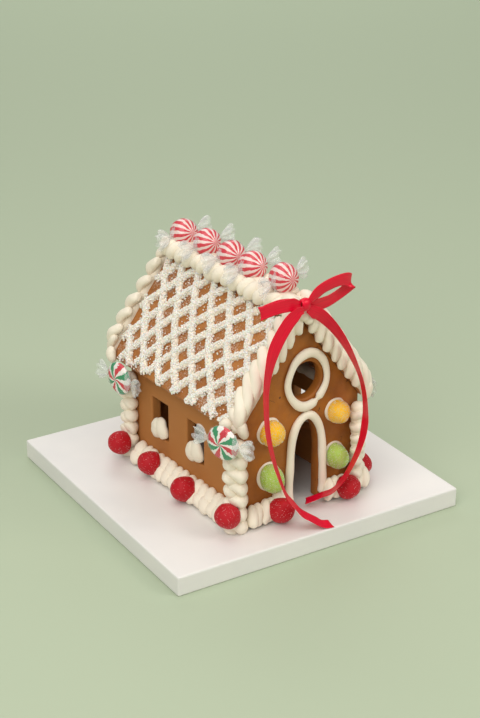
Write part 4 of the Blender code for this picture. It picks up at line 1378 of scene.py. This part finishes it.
class AddRibbon(bpy.types.Operator):
    """Tie the satin bow at the front peak, with its two loops and its two curling tails"""

    bl_idname = "house.add_ribbon"
    bl_label = "Ribbon Bow"

    def execute(self, context):
        low, high = span("ribbon_knot")
        centre = (low + high) / 2
        v = np.linspace(0, 2 * math.pi, 49)[:, None]
        deep, tall = (high[1] - low[1]) / 2, (high[2] - low[2]) / 2
        loop = centre + Y * deep * 0.86 * np.cos(v) + Z * tall * 0.7 * np.sin(v)
        knot = swept(loop[None], X, 2.6 * MM, 7 * MM, 20)
        wrap = add_piece("ribbon_wrap", knot, satin(), ["ribbon_knot"]).data
        set_uv(wrap, knot[0][corner_points(wrap)][:, [0, 2]])
        loops = ("left", LEFT_LOOP, (-0.2, 0, 1)), ("right", RIGHT_LOOP, (-0.25, -0.15, 1))
        for name, route, up in loops:
            across = np.tile(unit(vec(*up)), (len(route), 1))
            band("bow_loop_" + name, above_board(route), across, ["ribbon_loop_" + name], (0.42, 0.42))
        for name, route in (("left", LEFT_TAIL), ("right", RIGHT_TAIL)):
            places, nodes = above_board(route), ["ribbon_tail_" + name]
            band("bow_tail_" + name, places, facing(route), nodes, (0.6, 1), name == "right")
        return {"FINISHED"}


# ---------------------------------------------------------------- stage


FLOOR_REACH = 8.0
HOUSE_MIDDLE = (0, 0, 0.09)
# Each lamp's name, place, aim, size, share of the key light's power, and tint.
LAMPS = (
    ("key", (0.9, -1.5, 1.35), HOUSE_MIDDLE, 0.9, 1, (1, 0.965, 0.91)),
    ("fill", (-1.4, -0.9, 1.3), HOUSE_MIDDLE, 1.4, 1.45, (1, 0.965, 0.93)),
    ("top", (-0.3, 0, 1.9), HOUSE_MIDDLE, 1.6, 1, (1, 0.98, 0.95)),
    ("back", (1.6, 2.6, 2.2), (1.9, 2.9, 0), 2.4, 3.2, (0.98, 1, 0.96)),
)


class AddStage(bpy.types.Operator):
    """Lay the floor, hang the lights and set up the camera"""

    bl_idname = "house.add_stage"
    bl_label = "Floor, Light and Camera"

    def execute(self, context):
        look = settings("stage")
        scene = context.scene
        mesh = bpy.data.meshes.new("floor")
        corners = [(x * FLOOR_REACH, y * FLOOR_REACH, 0) for x, y in ((-1, -1), (1, -1), (1, 1), (-1, 1))]
        mesh.from_pydata(corners, [], [(0, 1, 2, 3)])
        mesh.materials.append(Skin("floor_paper", look.floor, 0.75, Specular_IOR_Level=0.2).material)
        place_object("floor", mesh)

        scene.world = bpy.data.worlds.new("room")
        scene.world.use_nodes = True
        room = scene.world.node_tree.nodes["Background"].inputs
        room["Color"].default_value = (1.0, 0.985, 0.95, 1)
        room["Strength"].default_value = 0.34
        scene.view_settings.view_transform = "Standard"
        for name, place, aim, size, share, tint in LAMPS:
            data = bpy.data.lights.new(name, "AREA")
            data.energy = look.key * share
            data.size = size
            data.color = tint
            lamp = place_object(name, data)
            lamp.location = place
            lamp.rotation_euler = (Vector(aim) - Vector(place)).to_track_quat("-Z", "Y").to_euler()

        data = bpy.data.cameras.new("camera")
        data.lens = 84.6
        data.sensor_width = 36
        camera = place_object("camera", data)
        camera.location = (-0.7059, -0.9830, 0.6619)
        camera.rotation_euler = [math.radians(turn) for turn in (65.45, -0.07, -35.81)]
        scene.camera = camera
        return {"FINISHED"}


# ---------------------------------------------------------------- add-on

STEPS = (
    AddStage,
    AddBoard,
    AddGingerbread,
    AddLattice,
    AddRidgeIcing,
    AddRakeIcing,
    AddColumns,
    AddBorders,
    AddSeams,
    AddBeads,
    AddWindowIcing,
    AddGumdrops,
    AddPeppermints,
    AddRibbon,
)


class HousePanel(bpy.types.Panel):
    """Every step of the house, in order"""

    bl_idname = "VIEW3D_PT_gingerbread"
    bl_label = "Gingerbread House"
    bl_space_type = "VIEW_3D"
    bl_region_type = "UI"
    bl_category = "Gingerbread"

    def draw(self, context):
        for name, group in SETTINGS.items():
            box = self.layout.box()
            box.label(text=group.__doc__)
            for prop in group.__annotations__:
                box.prop(getattr(context.scene, name), prop)
        for step in STEPS:
            self.layout.operator(step.bl_idname)


def register():
    for made in (*SETTINGS.values(), *STEPS, HousePanel):
        bpy.utils.register_class(made)
    for name, group in SETTINGS.items():
        setattr(bpy.types.Scene, name, PointerProperty(type=group))


def unregister():
    for name in SETTINGS:
        delattr(bpy.types.Scene, name)
    for made in reversed((*SETTINGS.values(), *STEPS, HousePanel)):
        bpy.utils.unregister_class(made)


def main():
    register()
    for step in STEPS:
        group, operator = step.bl_idname.split(".")
        getattr(getattr(bpy.ops, group), operator)()


if __name__ == "__main__":
    main()
